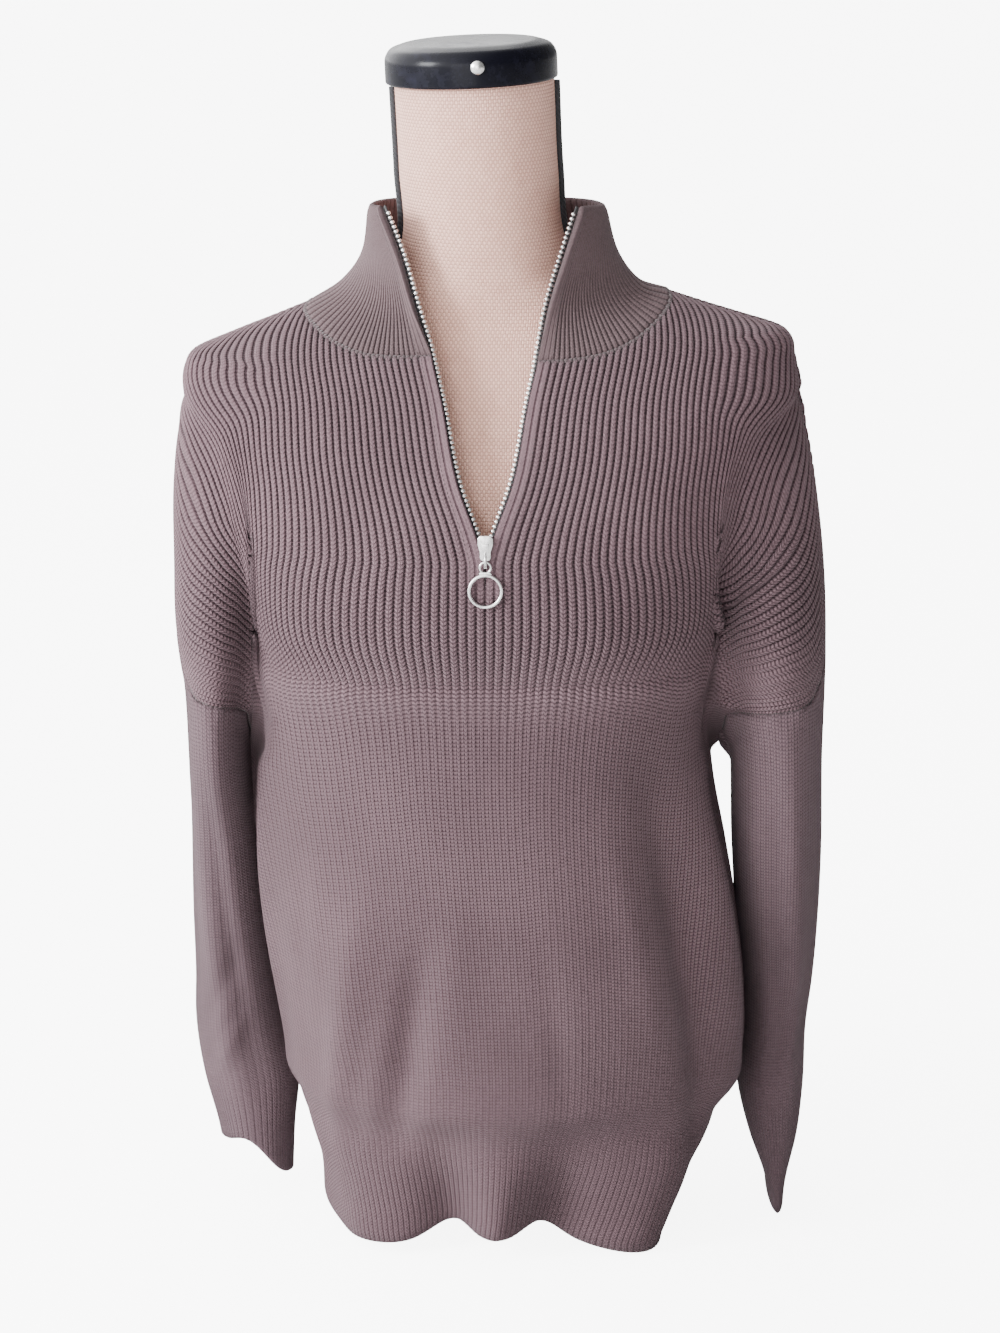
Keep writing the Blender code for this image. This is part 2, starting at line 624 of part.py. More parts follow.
# ---------------------------------------------------------------- collar
COLLAR_THICKNESS = 0.0045    # two layers of finer rib knit
COLLAR_RIBS = 28             # ribs between the zip and the shoulder seam
COLLAR_RIB_HEIGHT = 0.0010
COLLAR_GAP = 0.0008      # room for the turn of the wall along the neckline
COLLAR = named_table(
    ("z_front", "z_side", "z_back", "left", "right", "edge_left", "edge_right",
     "y_front", "y_back"),
    (0.674, 0.682, 0.684, 0.1010, 0.1080, 0.0500, 0.0450, -0.0730, 0.0695),
    (0.706, 0.703, 0.706, 0.0865, 0.0925, 0.0605, 0.0560, -0.0620, 0.0690),
    (0.739, 0.735, 0.730, 0.0820, 0.0840, 0.0745, 0.0680, -0.0500, 0.0680),
)


COLLAR_PINCH = 0.5       # how soon the collar turns back from the zip
COLLAR_ROWS = len(COLLAR["z_side"])


def collar_base(side, face, surface, rib):
    """Outer and inner point of the neckline's edge at a rib."""
    rib = np.array(float(rib))
    z = read(NECKLINE[face], SIDE_NAME[side], "rib", rib)
    point, normal = on_surface(surface, side, rib, z)
    return point, point - KNIT * normal


def collar_row(row, side, face, shares):
    """Outer points of a collar row at shares of its way from the zip or the back."""
    level = {key: COLLAR[key][row] for key in COLLAR}
    side_x = level[SIDE_NAME[side]]
    if face == "front":
        start = (level["edge_" + SIDE_NAME[side]], level["y_front"], level["z_front"])
        middle = (side_x, COLLAR_PINCH * level["y_front"], (level["z_front"] + level["z_side"]) / 2)
    else:
        start = (0.0, level["y_back"], level["z_back"])
        middle = (side_x, level["y_back"], (level["z_back"] + level["z_side"]) / 2)
    t = np.linspace(0, 1, 200)[:, None]
    end = np.array((side_x, 0.0, level["z_side"]))
    path = np.array(start) * (1 - t) ** 2 + 2 * np.array(middle) * t * (1 - t) + end * t * t
    length = np.concatenate(([0], np.cumsum(np.linalg.norm(np.diff(path, axis=0), axis=1))))
    found = [np.interp(shares * length[-1], length, path[:, axis]) for axis in range(3)]
    return np.array(found).T * (side, 1, 1)


def make_collar(material, surfaces):
    """The stand collar, open at the zip, and the line of each of its front edges."""
    quarters = ((LEFT, "front", 1), (LEFT, "back", -1), (RIGHT, "back", 1), (RIGHT, "front", -1))
    wall = Wall()
    borders, edges = {}, {}
    for skin in ("outer", "inner"):
        places, base, rows = [], [], []
        for quarter, (side, face, way) in enumerate(quarters):
            ribs = np.arange(0, RIBS_NECK + 1, INSIDE_STEP)
            if skin == "outer":
                ribs = np.linspace(0, RIBS_NECK, 2 * COLLAR_RIBS + 1)
            lines = np.array([collar_base(side, face, surfaces[face, side], rib) for rib in ribs])
            steps = np.linalg.norm(np.diff(lines[:, 0], axis=0), axis=1)
            shares = np.concatenate(([0], np.cumsum(steps))) / steps.sum()
            levels = [collar_row(row, side, face, shares) for row in range(COLLAR_ROWS)]
            levels = np.array(levels).transpose(1, 0, 2)
            ways = shares if way > 0 else 1 - shares
            for index in range(len(ribs))[::way]:
                place = quarter + ways[index]
                if places and abs(places[-1] - place) < 1e-6:
                    base[-1] = (base[-1] + lines[index]) / 2
                    continue
                places.append(place)
                base.append(lines[index])
                rows.append(levels[index])
        base, rows = np.array(base), np.array(rows)
        along = np.gradient(base[:, 0], axis=0)
        out = base[:, 0] - base[:, 1]
        rise = np.cross(along, out)
        rise /= np.linalg.norm(rise, axis=1, keepdims=True)
        rise *= np.sign(rise[:, 2:3])
        start = base[:, 0] + rise * COLLAR_GAP
        inside = base[:, 1] + rise * COLLAR_GAP
        grid = np.concatenate((start[:, None], rows), axis=1)
        normal = np.cross(np.gradient(grid, axis=0), np.gradient(grid, axis=1))
        normal /= np.linalg.norm(normal, axis=2, keepdims=True)
        normal *= np.sign(np.sum(normal * out[:, None], axis=2, keepdims=True))
        if skin == "inner":
            grid = grid - COLLAR_THICKNESS * normal
            grid[:, 0] = inside
        else:
            edges[LEFT] = (grid[0], normal[0])
            edges[RIGHT] = (grid[-1], normal[-1])
            groove = np.arange(len(places)) % 2 == 0
            grid[groove, :2] -= COLLAR_RIB_HEIGHT * normal[groove, :2]
        lines = []
        for row in range(grid.shape[1]):
            keep = np.arange(len(places))
            if skin == "outer" and row >= 2:
                keep = keep[::2 * COLLAR_RIBS // 6]
            numbers = wall.add(grid[keep, row])
            lines.append([(places[index], number) for index, number in zip(keep, numbers)])
        for low, high in zip(lines, lines[1:]):
            bridge(wall.faces, low, high)
        borders[skin] = (lines[0], lines[-1], numbered([line[0][1] for line in lines]),
                         numbered([line[-1][1] for line in lines]))
    for outer_line, inner_line in zip(borders["outer"], borders["inner"]):
        bridge(wall.faces, outer_line, inner_line)
    make_object("collar", wall.vertices, wall.faces, material)
    return edges


# ---------------------------------------------------------------- zip
TAPE_THICKNESS = 0.0008
TAPE_BEHIND = 0.0012     # clearance behind the inside of the cloth
TAPE_SHOWS = 0.0025      # how far the tape reaches past the edge of the cloth
TAPE_COVERED = 0.0060    # how far it reaches under the cloth
TAPE_START = 0.470


def make_tape(name, side, edge, normal, cloth, material):
    """One tape of the zip, sewn behind the front edge of the panel and collar."""
    vertices, faces = [], []
    heading = np.gradient(edge, axis=0)
    for point, out, ahead, thickness in zip(edge, normal, heading, cloth):
        inward = np.cross(ahead, out)
        inward *= -side * np.sign(inward[0]) / np.linalg.norm(inward)
        half_gap = abs(point[0])
        shows = half_gap - max(half_gap - TAPE_SHOWS, 0.0006)
        near = thickness + TAPE_BEHIND
        for reach, depth in ((shows, near), (shows, near + TAPE_THICKNESS),
                             (-TAPE_COVERED, near + TAPE_THICKNESS), (-TAPE_COVERED, near)):
            vertices.append(point + inward * reach - out * depth)
    sections = len(edge)
    for index in range(sections - 1):
        for corner in range(4):
            a = index * 4 + corner
            b = index * 4 + (corner + 1) % 4
            faces += [(a, b, b + 4), (a, b + 4, a + 4)]
    last = 4 * (sections - 1)
    faces += [(0, 1, 2, 3), (last, last + 1, last + 2, last + 3)]
    make_object(name, vertices, faces, material, 20)


PLATE_BACK = -0.1353         # the slider's plate lies just in front of the ribs
PLATE_THICKNESS = 0.0020
PLATE_LOW, PLATE_HIGH = 0.5062, 0.5290
PLATE_HALF_LOW, PLATE_HALF_HIGH = 0.0036, 0.0052
CORE_DEPTH = 0.0058
CORE_HALF = 0.0013
ARCH_RADIUS = 0.0044         # the crown that the pull swings on
ARCH_WIRE = 0.0009
PULL_THICKNESS = 0.0012
PULL_CLEARANCE = 0.0003
EYE_OUTER, EYE_HOLE = 0.0043, 0.0024
RING_RADIUS, RING_WIRE = 0.0110, 0.0012
RING_DROP = 0.0172           # from the eye's middle down to the ring's
PLATE_FRONT = PLATE_BACK - PLATE_THICKNESS
HINGE_Y = PLATE_FRONT - PULL_CLEARANCE - PULL_THICKNESS / 2
HINGE_Z = 0.5124


def block(name, low, high, material, high_half=None):
    """A box between two corners, its top wider or narrower where asked."""
    (x0, y0, z0), (x1, y1, z1) = low, high
    top = (x0, x1) if high_half is None else (-high_half, high_half)
    vertices = [(x, y, z0) for x in (x0, x1) for y in (y0, y1)]
    vertices += [(x, y, z1) for x in top for y in (y0, y1)]
    faces = [(0, 1, 3, 2), (4, 6, 7, 5), (0, 4, 5, 1), (2, 3, 7, 6), (0, 2, 6, 4), (1, 5, 7, 3)]
    return make_object(name, vertices, faces, material)


def join_with(thing, others):
    """Joins other closed shapes into an object as one body."""
    for other in others:
        other.hide_render = True
        other.display_type = "WIRE"
        union = thing.modifiers.new("join_" + other.name, "BOOLEAN")
        union.operation = "UNION"
        union.object = other


def swept_tube(name, path, radius, sides, material):
    """A tube round a path that lies in the YZ plane."""
    path = np.array(path)
    heading = np.gradient(path, axis=0)
    vertices, faces = [], []
    for point, ahead in zip(path, heading):
        ahead = ahead / np.linalg.norm(ahead)
        sideways = np.array((1.0, 0.0, 0.0))
        other = np.cross(ahead, sideways)
        for step in range(sides):
            turn = 2 * pi * step / sides
            vertices.append(point + radius * (cos(turn) * sideways + sin(turn) * other))
    for index in range(len(path) - 1):
        for step in range(sides):
            a = index * sides + step
            b = index * sides + (step + 1) % sides
            faces.append((a, b, b + sides, a + sides))
    last = sides * (len(path) - 1)
    faces += [tuple(range(sides)), tuple(range(last, last + sides))]
    return make_object(name, vertices, faces, material)


def turned(name, profile, steps, material, sharp_angle=40, closed=False):
    """A solid turned about Z from (radius, height) points, on its axis at both ends
    unless the profile is closed."""
    vertices, faces = [], []
    for radius, height in profile:
        for step in range(steps if radius > 0 else 1):
            turn = 2 * pi * step / steps
            vertices.append((radius * cos(turn), radius * sin(turn), height))
    starts, start = [], 0
    for radius, _ in profile:
        starts.append(start)
        start += steps if radius > 0 else 1
    pairs = list(zip(range(len(profile)), range(1, len(profile))))
    if closed:
        pairs.append((len(profile) - 1, 0))
    for upper, lower in pairs:
        for step in range(steps):
            ahead = (step + 1) % steps
            a, b = starts[upper], starts[lower]
            if profile[upper][0] == 0:
                faces.append((a, b + step, b + ahead))
            elif profile[lower][0] == 0:
                faces.append((a + step, a + ahead, b))
            else:
                faces.append((a + step, a + ahead, b + ahead, b + step))
    return make_object(name, vertices, faces, material, sharp_angle)


def make_slider(material):
    """The zip's slider with the arch that holds its pull."""
    plate = block("zip_slider", (-PLATE_HALF_LOW, PLATE_FRONT, PLATE_LOW),
                  (PLATE_HALF_LOW, PLATE_BACK, PLATE_HIGH), material, PLATE_HALF_HIGH)
    core = block("slider_core", (-CORE_HALF, PLATE_BACK - PLATE_THICKNESS / 2, 0.5145),
                 (CORE_HALF, PLATE_BACK + CORE_DEPTH, 0.5240), material)
    foot = PLATE_FRONT + PLATE_THICKNESS / 2
    arch = [(0, foot, HINGE_Z + ARCH_RADIUS)]
    for step in range(9):
        turn = pi * step / 8
        arch.append((0, HINGE_Y - ARCH_RADIUS * sin(turn), HINGE_Z + ARCH_RADIUS * cos(turn)))
    arch.append((0, foot, HINGE_Z - ARCH_RADIUS))
    crown = swept_tube("slider_crown", arch, ARCH_WIRE, 8, material)
    join_with(plate, (core, crown))


def make_pull(material):
    """The ring pull: an eye round the crown, a short neck and the ring."""
    half = PULL_THICKNESS / 2
    eye_profile = ((EYE_HOLE, -half), (EYE_OUTER, -half), (EYE_OUTER, half), (EYE_HOLE, half))
    eye = turned("zip_pull", eye_profile, 16, material, closed=True)
    ring_profile = [(RING_RADIUS + RING_WIRE * cos(2 * pi * step / 6),
                     RING_WIRE * sin(2 * pi * step / 6)) for step in range(6)]
    ring = turned("pull_ring", ring_profile, 20, material, closed=True)
    neck_low = RING_DROP - RING_RADIUS - RING_WIRE / 2
    neck = block("pull_neck", (-0.0016, EYE_OUTER - 0.0006, -half), (0.0016, neck_low, half), material)
    for thing, down in ((eye, 0.0), (ring, RING_DROP), (neck, 0.0)):
        for vertex in thing.data.vertices:
            x, y, z = vertex.co
            vertex.co = (x, z, -ARCH_RADIUS - y - down)
        thing.location = (0.0, HINGE_Y, HINGE_Z)
    join_with(eye, (ring, neck))


# ---------------------------------------------------------------- dress form
STAND_Y = 0.030          # the stand stands a little behind the front of the form
BASE_RADIUS = 0.070
NECK_TILT = radians(-2.5)
NECK_TOP = 0.8208
CAP_X = -0.0095
FORM_STEPS = 20
FORM = named_table(
    ("z", "x", "half", "front", "back"),
    (0.0980, 0.006, 0.100, 0.076, 0.078),
    (0.1080, 0.006, 0.119, 0.090, 0.092),
    (0.1500, 0.006, 0.128, 0.099, 0.102),
    (0.2300, 0.004, 0.124, 0.094, 0.096),
    (0.3200, 0.000, 0.105, 0.082, 0.080),
    (0.4100, 0.000, 0.121, 0.098, 0.084),
    (0.4800, 0.000, 0.140, 0.116, 0.090),
    (0.5400, 0.000, 0.150, 0.106, 0.094),
    (0.5950, 0.000, 0.158, 0.084, 0.080),
    (0.6250, 0.000, 0.154, 0.068, 0.064),
    (0.6445, 0.000, 0.1487, 0.058, 0.054),
    (0.6645, 0.002, 0.107, 0.053, 0.052),
    (0.6760, 0.002, 0.083, 0.054, 0.053),
    (0.6860, 0.001, 0.067, 0.055, 0.056),
    (0.7100, -0.001, 0.0575, 0.0560, 0.0560),
    (0.7600, -0.0048, 0.0552, 0.0550, 0.0550),
    (0.8208, -0.0078, 0.0552, 0.0545, 0.0545),
)


def make_form(material):
    """The covered torso and neck, one closed smooth body."""
    vertices, faces = [], []
    rings = len(FORM["z"])
    for ring in range(rings):
        level = {key: FORM[key][ring] for key in FORM}
        for step in range(FORM_STEPS):
            turn = 2 * pi * step / FORM_STEPS
            x = level["x"] + level["half"] * cos(turn)
            depth = level["back"] if sin(turn) > 0 else level["front"]
            z = level["z"]
            if ring == rings - 1:
                z -= tan(NECK_TILT) * (x - CAP_X)
            vertices.append((x, depth * sin(turn), z))
    for ring in range(rings - 1):
        for step in range(FORM_STEPS):
            a = ring * FORM_STEPS + step
            b = ring * FORM_STEPS + (step + 1) % FORM_STEPS
            faces += [(a, b, b + FORM_STEPS), (a, b + FORM_STEPS, a + FORM_STEPS)]
    last = FORM_STEPS * (rings - 1)
    faces += [tuple(range(FORM_STEPS)), tuple(range(last, last + FORM_STEPS))]
    make_object("form_torso", vertices, faces, material, 50)


PIPING_OUT = 0.0024        # how far the cord stands out of the neck


def make_piping(name, side, material):
    """The cord in the neck's side seam, from the cap down to the shoulder."""
    vertices, faces = [], []
    heights = (0.6980, 0.7100, 0.7600, 0.8195)
    for z in heights:
        x = np.interp(z, FORM["z"], FORM["x"]) + side * (np.interp(z, FORM["z"], FORM["half"]) + 0.0004)
        for out, y in ((0, -0.0024), (PIPING_OUT, -0.0014), (PIPING_OUT, 0.0014), (0, 0.0024)):
            vertices.append((x + side * out, y, z - tan(NECK_TILT) * (x - CAP_X) * (z > 0.8)))
    for level in range(len(heights) - 1):
        for corner in range(4):
            a = level * 4 + corner
            b = level * 4 + (corner + 1) % 4
            faces += [(a, b, b + 4), (a, b + 4, a + 4)]
    last = 4 * (len(heights) - 1)
    faces += [(0, 1, 2, 3), (last, last + 1, last + 2, last + 3)]
    make_object(name, vertices, faces, material)


def make_cap_and_stand(black, steel):
    """The neck cap with its rivet, the pole and the round base."""
    cap_profile = ((0, 0.0290), (0.025, 0.0286), (0.046, 0.0272), (0.056, 0.0235),
                   (0.0597, 0.0180), (0.0597, 0.0012), (0.0585, 0), (0, 0))
    cap = turned("neck_cap", cap_profile, 24, black)
    cap.location = (CAP_X, 0.0, NECK_TOP + 0.0004)
    cap.rotation_euler = (0.0, NECK_TILT, 0.0)
    rivet_profile = ((0, 0.0022), (0.0030, 0.0018), (0.0047, 0.0006), (0.0047, 0), (0, 0))
    rivet = turned("cap_rivet", rivet_profile, 10, steel)
    rivet.location = (-0.0052, -0.0602, NECK_TOP + 0.0150)
    rivet.rotation_euler = (radians(90), 0.0, 0.0)
    pole = turned("stand_pole", ((0, 0.0977), (0.012, 0.0977), (0.012, 0.0123), (0, 0.0123)), 14, steel)
    pole.location = (0.0, STAND_Y, 0.0)
    base_profile = ((0, 0.012), (BASE_RADIUS - 0.003, 0.012), (BASE_RADIUS, 0.009),
                    (BASE_RADIUS, 0.001), (BASE_RADIUS - 0.001, 0), (0, 0))
    base = turned("stand_base", base_profile, 24, black)
    base.location = (0.0, STAND_Y, 0.0)


def main():
    for old in list(bpy.data.objects):
        bpy.data.objects.remove(old, do_unlink=True)
    knit = principled("taupe_knit", (0.20, 0.16, 0.155), 0.95)
    collar_knit = principled("taupe_collar_knit", (0.18, 0.145, 0.14), 0.95)
    tape = principled("zip_tape_cloth", (0.03, 0.028, 0.028), 0.9)
    steel = principled("bright_steel", (0.75, 0.75, 0.76), 0.25, 1.0)
    burlap = principled("burlap", (0.62, 0.46, 0.36), 0.95)
    black = principled("black_lacquer", (0.012, 0.012, 0.014), 0.15)
    front_stations, zip_edges = make_panel("front_panel", "front", knit)
    back_stations, _ = make_panel("back_panel", "back", knit)
    surfaces = {(face, side): cloth_surface(face, side)
                for face in ("front", "back") for side in (LEFT, RIGHT)}
    collar_edges = make_collar(collar_knit, surfaces)
    for side in (LEFT, RIGHT):
        make_sleeve("sleeve_" + SIDE_NAME[side], side, front_stations[side],
                    back_stations[side], knit)
        point, normal = zip_edges[side]
        low = LEVELS["front"].index(SLIT_END)
        share = (TAPE_START - point[low][2]) / (point[low + 1][2] - point[low][2])
        start = point[low] + (point[low + 1] - point[low]) * share
        collar_point, collar_normal = collar_edges[side]
        edge = np.concatenate(([start], point[low + 1:-1], collar_point))
        out = np.concatenate((normal[low:-1], collar_normal))
        cloth = [KNIT] * (len(edge) - 3) + [COLLAR_THICKNESS] * 3
        make_tape("zip_tape_" + SIDE_NAME[side], side, edge, out, cloth, tape)
        make_piping("neck_piping_" + SIDE_NAME[side], side, black)
    make_slider(steel)
    make_pull(steel)
    make_form(burlap)
    make_cap_and_stand(black, steel)


main()
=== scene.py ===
"""Quarter zip sweater in chunky rib knit, worn by a limbless dress form."""
from math import cos, pi, radians, sin, tan

import bmesh
import bpy
import numpy as np
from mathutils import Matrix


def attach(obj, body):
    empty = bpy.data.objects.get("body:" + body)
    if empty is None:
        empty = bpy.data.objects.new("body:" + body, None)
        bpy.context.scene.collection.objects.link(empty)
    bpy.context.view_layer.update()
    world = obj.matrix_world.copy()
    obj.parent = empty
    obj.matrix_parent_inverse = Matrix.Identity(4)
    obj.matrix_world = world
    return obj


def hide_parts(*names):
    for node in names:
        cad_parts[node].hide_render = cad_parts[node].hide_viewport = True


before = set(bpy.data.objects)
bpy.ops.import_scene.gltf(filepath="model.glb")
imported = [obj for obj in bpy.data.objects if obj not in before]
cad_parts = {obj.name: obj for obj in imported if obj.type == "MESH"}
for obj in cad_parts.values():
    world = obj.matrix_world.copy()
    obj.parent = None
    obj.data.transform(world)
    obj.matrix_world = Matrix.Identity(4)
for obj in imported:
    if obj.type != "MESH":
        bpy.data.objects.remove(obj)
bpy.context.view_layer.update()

# ------------------------------------------------------------ camera
# A long lens, a little above the sweater and looking down at it by 14 degrees. The
# target is a little right of the middle, because the right sleeve hangs wider.
CAMERA_TARGET = np.array((0.010, 0.0, 0.404))
CAMERA_PITCH = radians(14)
CAMERA_DISTANCE = 3.0
LENS = 113.43

view_line = np.array((0.0, cos(CAMERA_PITCH), -sin(CAMERA_PITCH)))
camera_data = bpy.data.cameras.new("camera")
camera_data.sensor_fit = "VERTICAL"
camera_data.sensor_height = 36
camera_data.lens = LENS
camera = bpy.data.objects.new("camera", camera_data)
camera.location = CAMERA_TARGET - CAMERA_DISTANCE * view_line
camera.rotation_euler = (radians(90) - CAMERA_PITCH, 0, 0)
bpy.context.collection.objects.link(camera)
bpy.context.scene.camera = camera


# ------------------------------------------------------------ studio
# A pale floor and a white surround that is brightest on the left. The main soft lamp
# stands high on the left, and two weak ones in front of the sweater and behind it.
def soft_lamp(name, place, aim, size, power, colour=(1, 1, 1)):
    """A square area lamp that faces a point."""
    data = bpy.data.lights.new(name, "AREA")
    data.size = size
    data.energy = power
    data.color = colour
    lamp = bpy.data.objects.new(name, data)
    lamp.location = place
    heading = np.array(aim) - np.array(place)
    flat = np.hypot(heading[0], heading[1])
    lamp.rotation_euler = (np.arctan2(flat, -heading[2]), 0, np.arctan2(-heading[0], heading[1]))
    bpy.context.collection.objects.link(lamp)


def closed_mesh(name, vertices, faces, material, sharp_angle=None):
    """A mesh object at the origin with its faces turned outwards."""
    mesh = bpy.data.meshes.new(name)
    mesh.from_pydata([tuple(map(float, point)) for point in vertices], [], faces)
    shape = bmesh.new()
    shape.from_mesh(mesh)
    bmesh.ops.recalc_face_normals(shape, faces=shape.faces)
    shape.to_mesh(mesh)
    shape.free()
    mesh.shade_smooth()
    if sharp_angle:
        mesh.set_sharp_from_angle(angle=radians(sharp_angle))
    mesh.materials.append(material)
    piece = bpy.data.objects.new(name, mesh)
    bpy.context.collection.objects.link(piece)
    return piece


class Paint:
    """A material's nodes, wired by short calls."""

    def __init__(self, name, roughness, **sockets):
        self.material = bpy.data.materials.new(name)
        self.material.use_nodes = True
        self.nodes = self.material.node_tree.nodes
        self.links = self.material.node_tree.links
        self.shader = self.nodes["Principled BSDF"]
        self.shader.inputs["Roughness"].default_value = roughness
        for socket, value in sockets.items():
            self.shader.inputs[socket.replace("_", " ")].default_value = value

    def add(self, kind, values=(), **settings):
        """A node with values for its inputs, each a number, a vector or a socket."""
        node = self.nodes.new("ShaderNode" + kind)
        for setting, value in settings.items():
            setattr(node, setting, value)
        for socket, value in (values.items() if isinstance(values, dict) else enumerate(values)):
            if isinstance(value, bpy.types.NodeSocket):
                self.links.new(value, node.inputs[socket])
            elif value is not None:
                node.inputs[socket].default_value = value
        return node

    def math(self, operation, *values):
        """The result of a Math node."""
        return self.add("Math", values, operation=operation).outputs[0]

    def plus(self, a, b):
        return self.math("ADD", a, b)

    def less(self, a, b):
        return self.math("SUBTRACT", a, b)

    def times(self, a, b):
        return self.math("MULTIPLY", a, b)

    def ramp(self, value, low, high, to_low=0.0, to_high=1.0):
        """A value moved softly from one range to another."""
        node = self.add("MapRange", {0: value, 1: low, 2: high, 3: to_low, 4: to_high},
                        interpolation_type="SMOOTHSTEP")
        return node.outputs[0]

    def mix(self, share, colour_a, colour_b):
        """Two colours mixed by a share."""
        node = self.add("Mix", {0: share, 6: colour_a, 7: colour_b}, data_type="RGBA")
        return node.outputs[2]

    def blend(self, share, value_a, value_b):
        """Two numbers mixed by a share."""
        return self.add("Mix", {0: share, 2: value_a, 3: value_b}, data_type="FLOAT").outputs[0]

    def object_place(self):
        return self.add("TexCoord").outputs["Object"]

    def uv(self, name):
        """The two numbers of a piece's own map."""
        split = self.add("SeparateXYZ", (self.add("UVMap", uv_map=name).outputs[0],))
        return split.outputs[0], split.outputs[1]

    def noise(self, place, scale, detail=2.0, roughness=0.5):
        node = self.add("TexNoise", {"Vector": place, "Scale": scale, "Detail": detail,
                                     "Roughness": roughness})
        return node.outputs[0]

    def bump(self, height, distance, before=None):
        """A relief of a height in metres, over an earlier one."""
        values = {"Height": height, "Distance": distance}
        if before:
            values["Normal"] = before
        return self.add("Bump", values).outputs[0]

    def finish(self, colour=None, normal=None, roughness=None):
        """Joins the results to the shader and gives the material."""
        for name, socket in (("Base Color", colour), ("Normal", normal), ("Roughness", roughness)):
            if socket is not None:
                self.links.new(socket, self.shader.inputs[name])
        return self.material


# The floor is overexposed, as under a studio's own floor lamps. Its glow is seen by
# the camera alone, so it lights nothing.
FLOOR_HALF = 30.0
FLOOR_GLOW = 7.0
floor_paint = Paint("pale_floor", 0.9, Emission_Color=(1, 1, 1, 1))
floor_cloud = floor_paint.noise(floor_paint.object_place(), 1.5)
floor_paint.links.new(
    floor_paint.times(floor_paint.add("LightPath").outputs["Is Camera Ray"], FLOOR_GLOW),
    floor_paint.shader.inputs["Emission Strength"])
floor_material = floor_paint.finish(
    floor_paint.mix(floor_cloud, (0.60, 0.60, 0.60, 1), (0.63, 0.63, 0.63, 1)))
floor = closed_mesh(
    "floor", [(x, y, z) for z in (-0.02, 0.0) for x in (-FLOOR_HALF, FLOOR_HALF)
              for y in (-FLOOR_HALF, FLOOR_HALF)],
    [(0, 1, 3, 2), (4, 6, 7, 5), (0, 4, 5, 1), (2, 3, 7, 6), (0, 2, 6, 4), (1, 5, 7, 3)],
    floor_material)

soft_lamp("main_lamp", (-2.85, -1.55, 1.7), (0, 0, 0.42), 1.2, 225, (0.96, 0.985, 1.0))
soft_lamp("fill_lamp", (-0.5, -3.0, 1.0), (0, 0, 0.4), 1.8, 30)
soft_lamp("back_lamp", (-0.6, 2.4, 2.2), (0, 0, 0.5), 1.8, 25)

SURROUND_SIDES = (-0.8, 0.45)        # from the left of the studio to its right
SURROUND_LIGHT = (4.9, 0.28)         # strength of the surround at each
surround = bpy.data.worlds.new("surround")
surround.use_nodes = True
sky_nodes, sky_links = surround.node_tree.nodes, surround.node_tree.links
heading = sky_nodes.new("ShaderNodeSeparateXYZ")
sky_links.new(sky_nodes.new("ShaderNodeTexCoord").outputs["Generated"], heading.inputs[0])
side_light = sky_nodes.new("ShaderNodeMapRange")
side_light.interpolation_type = "SMOOTHSTEP"
for socket, value in enumerate((*SURROUND_SIDES, *SURROUND_LIGHT), start=1):
    side_light.inputs[socket].default_value = value
sky_links.new(heading.outputs[0], side_light.inputs[0])
sky_nodes["Background"].inputs[0].default_value = (1, 1, 1, 1)
sky_links.new(side_light.outputs[0], sky_nodes["Background"].inputs[1])
bpy.context.scene.world = surround

# ------------------------------------------------------------ front and back panels
# Two knitted panels in a chunky rib, each with its hem knitted in one. They are
# linked to each other at the sides and shoulders, and run over the top of the arm.
KNIT = 0.0034            # thickness of the knit at a rib's crest
RIB_DEPTH = 0.0019       # how far the groove between two ribs lies below a crest
SEAM_GAP = 0.0004        # clearance between two pieces that are linked together
RIBS_HALF = 62           # ribs in half a front or back panel
RIBS_NECK = 22           # of these, the ribs that end at the collar
RIBS_SHOULDER = 37       # rib that ends at the point of the shoulder
UNDERARM = 0.348         # height of the lowest point of the armholes
ARM_END = 0.618          # above this the outline is all shoulder
WEB_SLOPE, WEB_DEPTH = 1.2, 0.045    # cloth that fills the corner between body and arm
SLIT_END = 0.487         # height of the lower end of the zip's slit
LEFT, RIGHT = -1, 1
SIDE_NAME = {LEFT: "left", RIGHT: "right"}
ARMHOLE_TOP = {LEFT: 0.441, RIGHT: 0.431}
SHOULDER_POINT = {LEFT: 0.6327, RIGHT: 0.6497}
NECK_POINT = {LEFT: 0.6681, RIGHT: 0.6765}


def named_table(names, *rows):
    """A table of rows as a dictionary of named columns."""
    return {name: np.array(values) for name, values in zip(names, zip(*rows))}


def read(table, name, key, place):
    """Smooth reading of one column of a table at a place on its key column."""
    keys, values = table[key], table[name]
    slopes = np.gradient(values, keys)
    place = np.clip(place, keys[0], keys[-1])
    row = np.clip(np.searchsorted(keys, place, side="right") - 1, 0, len(keys) - 2)
    span = keys[row + 1] - keys[row]
    t = (place - keys[row]) / span
    rise = values[row + 1] - values[row]
    bend_a = slopes[row] * span - rise
    bend_b = rise - slopes[row + 1] * span
    return values[row] + rise * t + t * (1 - t) * (bend_a * (1 - t) + bend_b * t)


